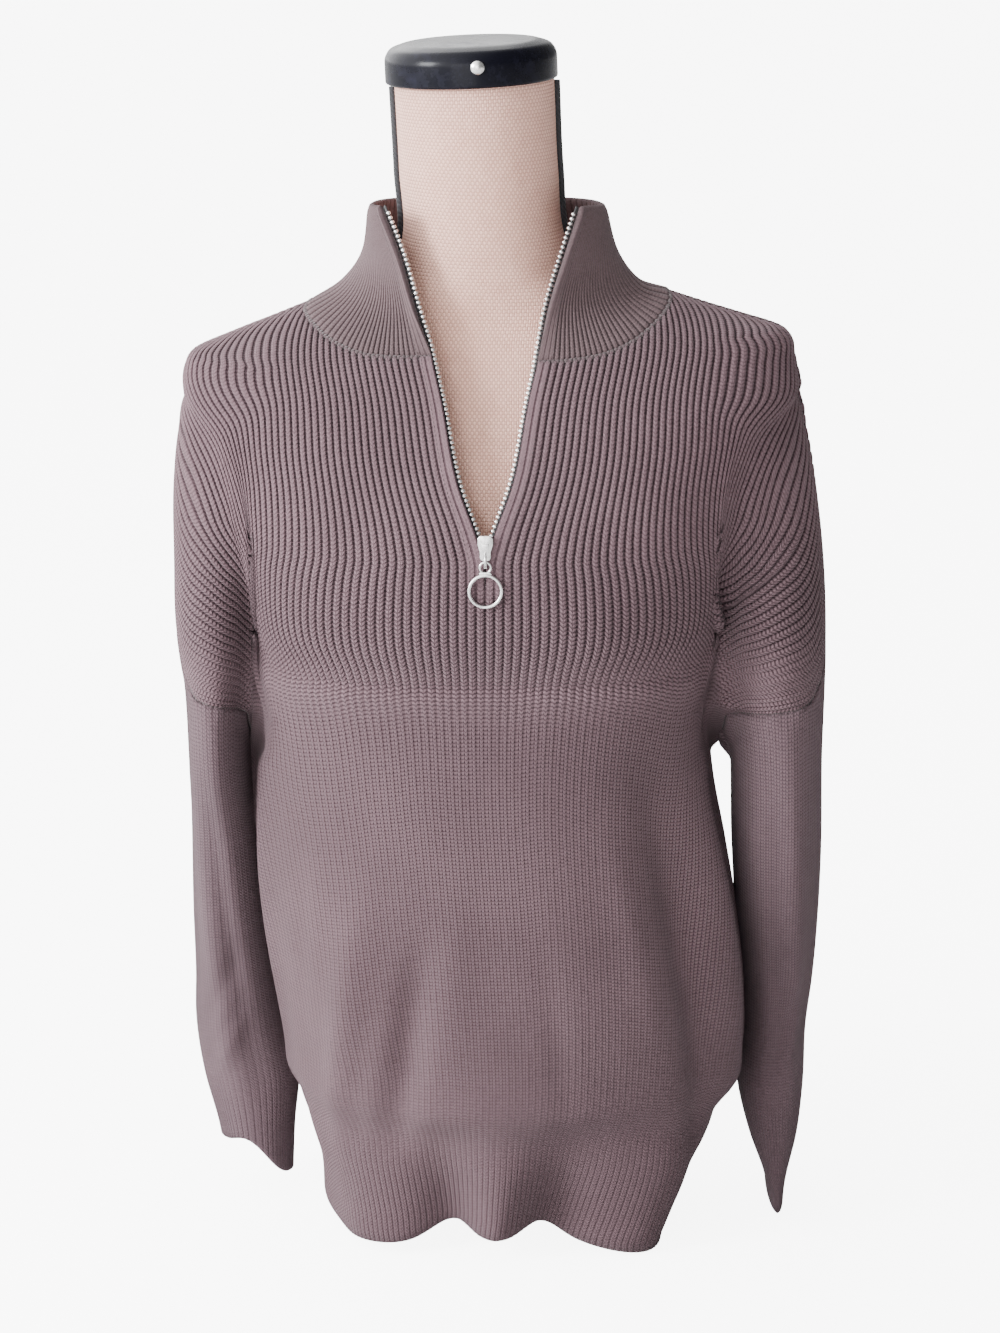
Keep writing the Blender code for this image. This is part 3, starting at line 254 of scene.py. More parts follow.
# Half widths and depths of the body at each height, the power of its outline, and how
# far its middle lies to the right.
TORSO = named_table(
    ("z", "left", "right", "front", "back", "power", "middle"),
    (0.000, 0.1150, 0.1260, 0.123, 0.112, 2.45, 0.006),
    (0.014, 0.1190, 0.1330, 0.125, 0.114, 2.40, 0.006),
    (0.030, 0.1198, 0.1402, 0.127, 0.116, 2.30, 0.008),
    (0.0455, 0.1216, 0.1504, 0.129, 0.118, 2.25, 0.009),
    (0.061, 0.1265, 0.1612, 0.131, 0.120, 2.20, 0.010),
    (0.084, 0.1345, 0.1720, 0.134, 0.124, 2.20, 0.011),
    (0.100, 0.1385, 0.1812, 0.136, 0.127, 2.20, 0.012),
    (0.126, 0.1425, 0.1865, 0.136, 0.130, 2.25, 0.013),
    (0.164, 0.147, 0.186, 0.135, 0.128, 2.30, 0.012),
    (0.230, 0.156, 0.179, 0.129, 0.120, 2.30, 0.008),
    (0.283, 0.1612, 0.171, 0.124, 0.113, 2.35, 0.004),
    (0.329, 0.1638, 0.163, 0.124, 0.109, 2.45, 0.001),
    (0.394, 0.163, 0.159, 0.128, 0.108, 2.75, 0.0),
    (0.444, 0.165, 0.165, 0.134, 0.112, 2.90, 0.0),
    (0.496, 0.173, 0.173, 0.136, 0.116, 2.85, 0.0),
    (0.544, 0.1905, 0.188, 0.130, 0.116, 2.60, 0.0),
    (0.584, 0.205, 0.208, 0.117, 0.110, 2.50, 0.0),
    (0.606, 0.2125, 0.2222, 0.107, 0.103, 2.50, 0.0),
    (0.6249, 0.2110, 0.2190, 0.097, 0.094, 2.40, 0.0),
    (0.6327, 0.2066, 0.2175, 0.092, 0.090, 2.30, 0.0),
    (0.6433, 0.1835, 0.2152, 0.084, 0.084, 2.20, 0.0),
    (0.6497, 0.1685, 0.2088, 0.079, 0.080, 2.10, 0.0),
    (0.6568, 0.1509, 0.1870, 0.073, 0.075, 2.00, 0.0),
    (0.6681, 0.1242, 0.1505, 0.064, 0.068, 2.00, 0.0),
    (0.6765, 0.1050, 0.1274, 0.056, 0.060, 2.00, 0.0),
)
# Inner and outer side of each arm, the middle of its depth and half its depth.
ARM_COLUMNS = ("z", "inner", "outer", "y", "depth")
ARM = {
    LEFT: named_table(
        ARM_COLUMNS,
        (0.000, 0.1440, 0.1920, 0.034, 0.027),
        (0.048, 0.1420, 0.1990, 0.038, 0.029),
        (0.083, 0.1390, 0.2090, 0.045, 0.033),
        (0.126, 0.1450, 0.2150, 0.047, 0.040),
        (0.164, 0.1500, 0.2145, 0.044, 0.046),
        (0.214, 0.1552, 0.2150, 0.036, 0.054),
        (0.284, 0.1612, 0.2145, 0.026, 0.064),
        (0.348, 0.1676, 0.2130, 0.000, 0.070),
        (0.394, 0.1660, 0.2150, 0.000, 0.073),
        (0.441, 0.1580, 0.2210, 0.000, 0.073),
        (0.484, 0.1500, 0.2214, 0.000, 0.072),
        (0.544, 0.1400, 0.2206, 0.000, 0.067),
        (0.576, 0.1340, 0.2172, 0.000, 0.060),
        (0.606, 0.1300, 0.2100, 0.000, 0.048),
        (0.640, 0.1200, 0.1700, 0.000, 0.020),
    ),
    RIGHT: named_table(
        ARM_COLUMNS,
        (0.000, 0.2060, 0.2170, -0.005, 0.044),
        (0.022, 0.2040, 0.2190, -0.003, 0.045),
        (0.053, 0.1925, 0.2285, 0.010, 0.046),
        (0.084, 0.1850, 0.2335, 0.026, 0.048),
        (0.126, 0.1868, 0.2350, 0.038, 0.052),
        (0.164, 0.1866, 0.2385, 0.036, 0.056),
        (0.214, 0.1818, 0.2405, 0.024, 0.062),
        (0.274, 0.1775, 0.2415, 0.010, 0.067),
        (0.348, 0.1745, 0.2410, 0.000, 0.070),
        (0.394, 0.1690, 0.2420, 0.000, 0.073),
        (0.431, 0.1610, 0.2424, 0.000, 0.073),
        (0.472, 0.1500, 0.2409, 0.000, 0.072),
        (0.521, 0.1420, 0.2361, 0.000, 0.069),
        (0.576, 0.1340, 0.2273, 0.000, 0.060),
        (0.606, 0.1300, 0.2190, 0.000, 0.048),
        (0.640, 0.1200, 0.1700, 0.000, 0.020),
    ),
}

# The armhole seam: its share of the way up to its top, for a share across the arm.
SEAM = named_table(
    ("across", "up"),
    (0.00, 0.00), (0.05, 0.36), (0.20, 0.44), (0.50, 0.485), (0.75, 0.51),
    (0.85, 0.555), (0.93, 0.66), (0.97, 0.78), (1.00, 1.00),
)
SLIT = named_table(      # half the opening between the two front edges
    ("z", "half"),
    (0.4870, 0.0), (0.5000, 0.0004), (0.5090, 0.0007), (0.5190, 0.0034), (0.5280, 0.0062),
    (0.5590, 0.0178), (0.6190, 0.0305), (0.6430, 0.0365), (0.6765, 0.0400),
)
PITCH = named_table(     # width of a rib at the centre of the front
    ("z", "width"),
    (0.010, 0.0034), (0.083, 0.0043), (0.150, 0.0047), (0.230, 0.0049),
    (0.330, 0.0051), (0.400, 0.0055), (0.425, 0.0058), (0.450, 0.0062),
    (0.487, 0.0062), (0.530, 0.0056), (0.556, 0.0052), (0.583, 0.0050),
    (0.610, 0.0048), (0.680, 0.0047),
)
# Heights of the neckline and of the hem at each rib from the centre.
NECKLINE = {
    "front": named_table(
        ("rib", "left", "right"),
        (0, 0.6430, 0.6395), (6, 0.6422, 0.6410), (10, 0.6435, 0.6445),
        (14, 0.6490, 0.6520), (18, 0.6580, 0.6640), (22, 0.6681, 0.6765),
    ),
    "back": named_table(
        ("rib", "left", "right"),
        (0, 0.6640, 0.6640), (8, 0.6640, 0.6650), (14, 0.6652, 0.6690),
        (18, 0.6665, 0.6725), (22, 0.6681, 0.6765),
    ),
}
HEM = {
    "front": named_table(
        ("rib", "left", "right"),
        (0, 0.0178, 0.0178), (3, 0.0182, 0.0182), (9, 0.0240, 0.0240), (18, 0.0120, 0.0120),
        (29, 0.0085, 0.0015), (40, 0.0120, 0.0080), (RIBS_HALF, 0.0200, 0.0190),
    ),
    "back": named_table(
        ("rib", "left", "right"),
        (0, 0.0140, 0.0140), (10, 0.0110, 0.0170), (22, 0.0160, 0.0120),
        (40, 0.0130, 0.0150), (RIBS_HALF, 0.0200, 0.0190),
    ),
}

# Each fold follows a line from one rib and height down to another. The columns are
# side, rib_top, z_top, rib_low, z_low, spread (half its width in ribs) and lift.
# They count FOLD_RIBS ribs in half a panel. The deep drapes come first, and the small
# creases of uneven length after them.
FOLD_RIBS = 56
FOLDS = {
    "front": (
        (LEFT, 9, 0.110, 9, -0.090, 6.0, -0.024),
        (LEFT, 0, 0.080, 0, -0.060, 4.0, 0.008),
        (RIGHT, 10, 0.110, 10, -0.090, 6.0, -0.020),
        (LEFT, 25, 0.100, 26, -0.080, 7.0, 0.007),
        (RIGHT, 28, 0.110, 27, -0.090, 8.0, 0.024),
        (LEFT, 9, 0.250, 17, 0.070, 2.6, -0.009),
        (LEFT, 17, 0.270, 28, 0.050, 3.2, 0.009),
        (LEFT, 30, 0.400, 46, 0.080, 3.4, 0.008),
        (LEFT, 38, 0.360, 52, 0.060, 3.0, -0.006),
        (RIGHT, 20, 0.380, 34, 0.040, 3.6, -0.013),
        (RIGHT, 30, 0.350, 40, 0.080, 3.2, 0.009),
        (RIGHT, 40, 0.345, 50, 0.060, 3.0, -0.006),
        (LEFT, 47, 0.345, 55, 0.040, 2.6, 0.003),
        (RIGHT, 48, 0.345, 56, 0.040, 2.6, 0.002),
        (LEFT, 30, 0.610, 42, 0.360, 3.0, 0.004),
        (RIGHT, 36, 0.640, 43, 0.370, 3.2, -0.007),
        (RIGHT, 29, 0.600, 34, 0.380, 3.4, 0.004),
        (LEFT, 51, 0.425, 51, 0.250, 3.0, 0.0060),
        (LEFT, 14, 0.210, 23, 0.050, 1.8, 0.0016),
        (LEFT, 4, 0.300, 7, 0.150, 2.4, 0.0014),
        (LEFT, 24, 0.330, 33, 0.120, 2.0, -0.0018),
        (LEFT, 36, 0.300, 45, 0.170, 1.6, 0.0014),
        (LEFT, 49, 0.420, 37, 0.325, 2.2, -0.0022),
        (LEFT, 44, 0.440, 30, 0.345, 2.0, 0.0015),
        (RIGHT, 5, 0.260, 9, 0.090, 2.0, -0.0015),
        (RIGHT, 14, 0.330, 22, 0.150, 2.2, 0.0018),
        (RIGHT, 26, 0.290, 33, 0.110, 1.8, -0.0016),
        (RIGHT, 46, 0.260, 50, 0.100, 1.6, 0.0012),
        (RIGHT, 50, 0.430, 38, 0.330, 2.2, -0.0024),
        (RIGHT, 44, 0.450, 30, 0.352, 2.0, 0.0016),
        (RIGHT, 9, 0.560, 12, 0.430, 2.4, 0.0012),
        (LEFT, 12, 0.580, 15, 0.440, 2.4, -0.0012),
    ),
    "back": (
        (LEFT, 6, 0.420, 12, 0.040, 4.0, 0.006),
        (LEFT, 20, 0.440, 27, 0.050, 3.4, -0.008),
        (LEFT, 34, 0.400, 40, 0.040, 3.2, 0.006),
        (LEFT, 46, 0.345, 50, 0.020, 2.8, -0.005),
        (RIGHT, 4, 0.300, 6, 0.030, 3.4, -0.006),
        (RIGHT, 16, 0.460, 22, 0.060, 3.8, 0.007),
        (RIGHT, 29, 0.380, 34, 0.040, 3.2, -0.008),
        (RIGHT, 44, 0.345, 48, 0.020, 2.8, 0.004),
        (LEFT, 10, 0.100, 10, -0.080, 5.0, -0.014),
        (RIGHT, 12, 0.110, 12, -0.080, 5.0, 0.012),
        (LEFT, 28, 0.100, 28, -0.080, 5.0, 0.010),
        (RIGHT, 30, 0.100, 30, -0.080, 5.0, -0.012),
        (LEFT, 3, 0.540, 2, 0.380, 3.0, -0.0018),
        (LEFT, 13, 0.360, 19, 0.120, 2.0, 0.0018),
        (LEFT, 26, 0.500, 33, 0.330, 2.4, 0.0018),
        (LEFT, 41, 0.420, 31, 0.320, 2.2, -0.0020),
        (LEFT, 44, 0.260, 46, 0.090, 1.8, 0.0014),
        (RIGHT, 9, 0.420, 13, 0.200, 2.2, 0.0018),
        (RIGHT, 24, 0.300, 28, 0.110, 2.0, -0.0016),
        (RIGHT, 36, 0.450, 26, 0.330, 2.4, 0.0020),
        (RIGHT, 48, 0.410, 35, 0.330, 2.0, -0.0020),
        (RIGHT, 12, 0.590, 15, 0.460, 2.6, -0.0014),
    ),
}
# Level creases: height, reach from the centre in ribs, half height and lift.
CREASES = {
    "front": (
        (0.425, 30, 0.016, -0.0045),
        (0.090, 48, 0.016, -0.0035),
        (0.112, 50, 0.016, 0.0030),
        (0.4190, 25, 0.0036, -0.0022),
        (0.4120, 27, 0.0050, 0.0012),
    ),
    "back": (
        (0.400, 34, 0.022, -0.0060),
        (0.092, 48, 0.018, -0.0040),
    ),
}

# On the arm the ribs run beside the armhole seam. EDGE_PITCH is their spacing up the
# inner and the outer side of the arm. EVEN is how much of the spacing is even right
# across instead, as it is below the arm and on the shoulder.
EDGE_PITCH = (0.0049, 0.0077)
EVEN = named_table(
    ("z", "share"),
    (0.374, 1.0), (0.390, 0.0), (0.530, 0.0), (0.612, 1.0),
)

LEVEL_STEP = 0.002       # height between two outlines of the cloth
SURFACE_Z = np.arange(0.0, NECK_POINT[RIGHT] + LEVEL_STEP, LEVEL_STEP)
ACROSS = np.linspace(0.0, 1.0, 260)
PATH_POINTS = 700
ARM_SPREAD = named_table(    # the spacing beside the armhole seam widens upwards
    ("z", "factor"),
    (0.490, 1.0), (0.520, 1.08), (0.550, 1.25), (0.600, 1.60), (0.620, 1.80),
)
CROWDED = named_table(   # least spacing, as a share of the ribs' own pitch
    ("z", "share"),
    (0.360, 0.35), (0.400, 0.14), (0.560, 0.14), (0.600, 0.40),
)
CROWD_TURN = 0.004       # length over which the ribs begin to crowd
SPREAD_OUT = 1.7         # widest spacing, where there is room to spare
CROWDED_FLAT = 0.0030    # ribs closer than this lose their relief
NORMAL_REACH = 2         # outlines on each side over which the directions are evened
CLOSING = 0.022          # reach over which front and back close at the underarm
SOFTENING = 0.009        # radius that the cloth rounds off between body and arm


def summed(steps):
    """Running total of steps, from zero."""
    return np.concatenate(([0], np.cumsum(steps)))


def step_sizes(points):
    """Distances between neighbours in a line of points."""
    return np.linalg.norm(np.diff(points, axis=0), axis=1)


def run(points):
    """Length along a line of points, at each of them."""
    return summed(step_sizes(points))


def unit(directions):
    """Directions of length one."""
    return directions / np.linalg.norm(directions, axis=-1, keepdims=True)


def eased(share):
    """A share from 0 to 1 with a soft start and end."""
    return share * share * (3 - 2 * share)


def soften(values, step, odd_start, odd_end):
    """Gaussian smoothing of one coordinate along a path, mirrored at its ends."""
    reach = int(3 * SOFTENING / step) + 1
    kernel = np.exp(-0.5 * (np.arange(-reach, reach + 1) * step / SOFTENING) ** 2)
    kernel /= kernel.sum()
    head = values[reach:0:-1]
    tail = values[-2:-reach - 2:-1]
    if odd_start:
        head = 2 * values[0] - head
    if odd_end:
        tail = 2 * values[-1] - tail
    return np.convolve(np.concatenate((head, values, tail)), kernel, mode="valid")


def ribs_at(side, z):
    """Ribs between the centre and the panel's edge at a height."""
    heights = (ARMHOLE_TOP[side], SHOULDER_POINT[side], NECK_POINT[side])
    return np.interp(z, heights, (RIBS_HALF, RIBS_SHOULDER, RIBS_NECK))


def outline(face, side, z):
    """Half an outline of the sweater at a height, and how much of it is panel."""
    middle = side * read(TORSO, "middle", "z", z)
    width = read(TORSO, SIDE_NAME[side], "z", z) - middle
    depth = read(TORSO, face, "z", z)
    power = read(TORSO, "power", "z", z)
    inner = read(ARM[side], "inner", "z", z) - middle
    outer = read(ARM[side], "outer", "z", z) - middle
    above = z - UNDERARM
    on_arm = 0 < above < ARM_END - UNDERARM
    reach = max(width, outer) if on_arm else width
    d = reach * np.sin(np.linspace(0.0, pi / 2, 1500))
    y = depth * np.clip(1 - (d / width) ** power, 0, 1) ** (1 / power)
    if on_arm:
        arm_middle = (inner + outer) / 2
        arm_half = (outer - inner) / 2
        arm_depth = read(ARM[side], "depth", "z", z)
        arm = arm_depth * np.sqrt(np.clip(1 - ((d - arm_middle) / arm_half) ** 2, 0, 1))
        web = min(WEB_SLOPE * above, WEB_DEPTH)
        y = np.maximum(y, arm)
        y = np.where(d < arm_middle, np.maximum(y, web), y)
    length = summed(np.hypot(np.diff(d), np.diff(y)))
    even = np.linspace(0, length[-1], PATH_POINTS)
    d = soften(np.interp(even, length, d), even[1], True, False)
    y = soften(np.interp(even, length, y), even[1], False, True)
    length = summed(np.hypot(np.diff(d), np.diff(y)))
    end = length[-1]
    if 0 < above and z < ARMHOLE_TOP[side]:
        up = above / (ARMHOLE_TOP[side] - UNDERARM)
        share = np.interp(up, SEAM["up"], SEAM["across"])
        hollow = (width + inner) / 2
        end = np.interp(hollow + share * (outer - hollow), d, length)
        closing = np.clip(1 - (above - LEVEL_STEP) / CLOSING, 0, 1) ** 2
        closed = closing * np.exp(-np.abs(length - end) / CLOSING)
        y = y - np.interp(end, length, y) * closed
    on_top = (d - (width + inner) / 2) / max(outer - (width + inner) / 2, 1e-6)
    return d, y, length, end, on_top if on_arm else None


def spaced_ribs(side, z, start, end, length, on_top):
    """Places of evenly numbered ribs along the path at a height."""
    ribs = ribs_at(side, z)

    def squeezed(share, count, room):
        """Shares of the room: ribs keep their pitch at first, and crowd or spread at the end."""
        full = read(PITCH, "width", "z", z) * count
        spare = full < room
        end_pitch = SPREAD_OUT if spare else min(read(CROWDED, "share", "z", z), 0.8 * room / full)
        turn = CROWD_TURN if spare else -CROWD_TURN
        free = full * np.append(share, (0.0, 1.0))
        last = room - end_pitch * (full - free)
        place = turn * np.logaddexp(free / turn, last / turn)
        return ((place - place[-2]) / (place[-1] - place[-2]))[:-2]

    even = start + (end - start) * squeezed(ACROSS, ribs, end - start)
    blend = eased(np.interp(z, EVEN["z"], EVEN["share"]))
    if on_top is None or blend == 1:
        return even
    share = np.linspace(0, 1, 60)
    place = np.interp(share, on_top, length)
    rise = np.interp(share, SEAM["across"], SEAM["up"]).clip(SEAM["up"][1])
    above = z - UNDERARM - rise * (ARMHOLE_TOP[side] - UNDERARM)
    pitch = EDGE_PITCH[0] + (EDGE_PITCH[1] - EDGE_PITCH[0]) * share
    number = RIBS_HALF - above / (pitch * read(ARM_SPREAD, "factor", "z", z))
    number = number + (ribs - number[-1]) * share ** 4 if z > ARMHOLE_TOP[side] else number
    keep = (place < end - 1e-4) & (number < ribs - 0.02)
    if not keep.any():
        return even
    chest = number[0]
    wanted = ACROSS * ribs
    low = start + (place[0] - start) * squeezed(np.clip(wanted / chest, 0, 1), chest, place[0] - start)
    high = np.interp(wanted, [*number[keep], ribs], [*place[keep], end])
    slanted = np.where(wanted < chest, low, high)
    # The ribs turn softly where those of the chest meet those of the arm.
    turn = 0.8 * np.exp(-((wanted - chest) / 1.5) ** 2)
    slanted = slanted * (1 - turn) + turn * np.convolve(
        np.pad(slanted, 6, mode="reflect", reflect_type="odd"), np.ones(13) / 13, mode="valid")
    return even * blend + slanted * (1 - blend)


def fold_lift(face, side, rib, z):
    """How far the folds and creases move the cloth outwards."""
    rib = rib * FOLD_RIBS / RIBS_HALF
    lift = np.zeros_like(rib)
    for fold_side, rib_top, z_top, rib_low, z_low, spread, height in FOLDS[face]:
        t = (z_top - z) / (z_top - z_low)
        if 0 < t < 1:
            signed = rib * side * fold_side
            middle = rib_top + (rib_low - rib_top) * t
            lift += height * sin(pi * t) * np.exp(-((signed - middle) / spread) ** 2)
    for z_crease, reach, half_height, height in CREASES[face]:
        fade = 0.5 - 0.5 * np.tanh((rib - reach) / 4)
        lift += height * fade * np.exp(-((z - z_crease) / half_height) ** 2)
    # No fold reaches the seam at the panel's edge.
    return lift * eased(np.clip((FOLD_RIBS - rib) / 5, 0, 1))


def cloth_surface(face, side):
    """Points and outward directions of half a panel, by height and share across."""
    forward = -1 if face == "front" else 1
    points = np.zeros((len(SURFACE_Z), len(ACROSS), 3))
    for level, z in enumerate(SURFACE_Z):
        d, y, length, end, on_top = outline(face, side, z)
        start = read(SLIT, "half", "z", z) if face == "front" and z > SLIT_END else 0.0
        ribs = ribs_at(side, z)
        place = spaced_ribs(side, z, start, end, length, on_top)
        d_here = np.interp(place, length, d)
        y_here = np.interp(place, length, y)
        along_d = np.gradient(d_here)
        along_y = np.gradient(y_here)
        size = np.hypot(along_d, along_y)
        lift = fold_lift(face, side, ACROSS * ribs, z)
        d_here = d_here - along_y / size * lift
        y_here = y_here + along_d / size * lift
        points[level, :, 0] = read(TORSO, "middle", "z", z) + side * d_here
        points[level, :, 1] = forward * (y_here + SEAM_GAP / 2)
        points[level, :, 2] = z
    across = np.gradient(points, axis=1)
    upward = np.gradient(points, axis=0)
    normals = np.cross(across, upward) * side * -forward
    even = sum(np.roll(normals, step, axis=0) for step in range(-NORMAL_REACH, NORMAL_REACH + 1))
    normals[NORMAL_REACH:-NORMAL_REACH] = even[NORMAL_REACH:-NORMAL_REACH]
    seam = (SURFACE_Z < UNDERARM + 1.5 * LEVEL_STEP) | (SURFACE_Z >= ARMHOLE_TOP[side])
    normals[seam, -1, 1] = 0
    normals = unit(normals)
    room = (np.abs(points[:, :, 1]) - SEAM_GAP / 2) / KNIT
    normals[:, :, 1] = np.clip(normals[:, :, 1], -room, room)
    return points, normals


def on_surface(surface, side, rib, z):
    """Point and outward direction at lists of ribs and heights."""
    share = np.clip(rib / ribs_at(side, z), 0, 1) * (len(ACROSS) - 1)
    level = np.clip(z / LEVEL_STEP, 0, len(SURFACE_Z) - 1.001)
    i = np.floor(level).astype(int)
    j = np.minimum(np.floor(share).astype(int), len(ACROSS) - 2)
    s = (level - i)[..., None]
    t = (share - j)[..., None]
    found = []
    for grid in surface:
        low = grid[i, j] * (1 - t) + grid[i, j + 1] * t
        high = grid[i + 1, j] * (1 - t) + grid[i + 1, j + 1] * t
        found.append(low * (1 - s) + high * s)
    return found


def panel_top(face, side, rib):
    """Height where a rib ends: at the neckline, the shoulder or the outer arm."""
    if rib < RIBS_NECK:
        return float(read(NECKLINE[face], SIDE_NAME[side], "rib", rib))
    heights = (NECK_POINT[side], SHOULDER_POINT[side], ARMHOLE_TOP[side])
    return float(np.interp(rib, (RIBS_NECK, RIBS_SHOULDER, RIBS_HALF), heights))


# Shape of one rib: places across it, as shares of its width, and the share of the
# full depth at each. The groove is narrow and the crest is broad and round.
RIB_PLACES = (0.0, 0.12, 0.32, 0.68, 0.88)
RIB_SHAPE = (1.0, 0.52, 0.06, 0.06, 0.52)
RIM_DROP = (0, 0, -0.0011)           # how far the rim of a hem or cuff rounds below it
LOW_LEVELS, HIGH_LEVELS = 52, 60     # rows of points below and above the underarm
SLIT_SHARE = 0.50                    # share of the upper rows that lie below the slit's end
CREASE_BAND = (0.407, 0.431)         # heights round the crease below the bust
CREASE_SHARES = (0.13, 0.34)         # shares of the upper rows that lie below these
EVEN_FROM, EVEN_OVER = 18, 14        # from this rib on, the rows turn from level to even lengths
STRIP_RIBS = 1.7                     # width of the plain strip beside the zip, in ribs
STRIP_BELOW, STRIP_FADE = 0.008, 0.020       # it starts so far below the slit, and fades in
STRIP_RELIEF = 0.15                  # share of the ribs' relief that is left on it


def rib_places(count):
    """Places of the points across a number of ribs."""
    return [rib + place for rib in range(count) for place in RIB_PLACES]


def groove_share(rib):
    """Share of the full depth of a groove at a place across the ribs."""
    return np.interp(rib % 1, (*RIB_PLACES, 1.0), (*RIB_SHAPE, 1.0))


def rib_depth(z):
    """Depth of the grooves at a height: the knit is drawn flatter lower down."""
    return RIB_DEPTH * np.interp(z, (0.02, 0.10, 0.16, 0.37, 0.44, 0.49),
                                 (0.13, 0.19, 0.20, 0.28, 0.75, 1.0))


def rib_heights(face, surface, side, rib):
    """Heights of the points along one rib, evenly spaced along the cloth."""
    hem = float(read(HEM[face], SIDE_NAME[side], "rib", rib))
    top = panel_top(face, side, rib)
    split = UNDERARM + LEVEL_STEP
    low = np.linspace(hem, split, LOW_LEVELS + 1)[:-1]
    share = np.linspace(0, 1, HIGH_LEVELS + 1)
    straight = np.interp(share, (0, *CREASE_SHARES, SLIT_SHARE, 1),
                         (split, *CREASE_BAND, SLIT_END, top))
    z = np.linspace(split, top, 400)
    points, _ = on_surface(surface, side, np.full(len(z), float(rib)), z)
    length = run(points)
    even = np.interp(share, length / length[-1], z)
    blend = eased(np.clip((rib - EVEN_FROM) / EVEN_OVER, 0, 1))
    return np.concatenate((low, straight * (1 - blend) + even * blend))


def bridge(faces, line_a, line_b):
    """Triangles between two lines of (place, vertex), whatever their counts."""
    a, b = 0, 0
    while a < len(line_a) - 1 or b < len(line_b) - 1:
        ahead_a = line_a[a + 1][0] if a < len(line_a) - 1 else np.inf
        ahead_b = line_b[b + 1][0] if b < len(line_b) - 1 else np.inf
        if ahead_a <= ahead_b:
            faces.append((line_a[a][1], line_a[a + 1][1], line_b[b][1]))
            a += 1
        else:
            faces.append((line_a[a][1], line_b[b + 1][1], line_b[b][1]))
            b += 1


def grid_faces(faces, columns):
    """Quads between neighbouring columns of vertex numbers, less those of no width."""
    for left, right in zip(columns, columns[1:]):
        for a, b, c, d in zip(left, right, right[1:], left[1:]):
            corners = list(dict.fromkeys((a, b, c, d)))
            if len(corners) > 2:
                faces.append(tuple(corners))


class Cloth:
    """Points, faces, rib and course numbers of one piece of cloth in the making."""

    def __init__(self):
        self.points, self.faces, self.places, self.plain = [], [], [], []

    def add(self, points, ribs, courses, plain):
        """Adds a column of points and returns their numbers."""
        first = len(self.points)
        self.points.extend(points)
        self.places.extend(zip(np.broadcast_to(ribs, len(points)), courses))
        self.plain.extend(np.broadcast_to(plain, len(points)))
        return list(range(first, len(self.points)))

    def between(self, outer_line, inner_line, shift):
        """Places and points half way between the edges of two skins, each one shifted."""
        return [(place, (np.array(self.points[a]) + self.points[b]) / 2 + shift)
                for (place, a), (_, b) in zip(outer_line[::len(RIB_PLACES)], inner_line)]

    def make(self, name, material, turn=None):
        """The mesh, with its rib and course numbers as a map, and plain as a layer."""
        piece = closed_mesh(name, self.points, self.faces, material)
        mesh = piece.data
        corners = np.zeros(len(mesh.loops), dtype=np.int32)
        mesh.loops.foreach_get("vertex_index", corners)
        places = np.array(self.places, dtype=float)[corners]
        if turn:
            starts = np.array([face.loop_start for face in mesh.polygons])
            counts = np.array([face.loop_total for face in mesh.polygons])
            widest = np.maximum.reduceat(places[:, 0], starts)
            owner = np.repeat(np.arange(len(starts)), counts)
            places[:, 0] += turn * (places[:, 0] < widest[owner] - turn / 2)
        mesh.uv_layers.new(name="knit").data.foreach_set("uv", places.astype(np.float32).ravel())
        layer = mesh.attributes.new("plain", "FLOAT", "POINT")
        layer.data.foreach_set("value", np.array(self.plain, dtype=np.float32))
        return piece


def courses_along(points):
    """Course numbers up a column: the stitches are shorter in the lower body."""
    height = np.interp(points[1:, 2], (0.05, 0.20, 0.30, 0.37, 0.46, 0.53),
                       (0.0023, 0.0024, 0.0026, 0.0029, 0.0031, 0.0029))
    return summed(step_sizes(points) / height)


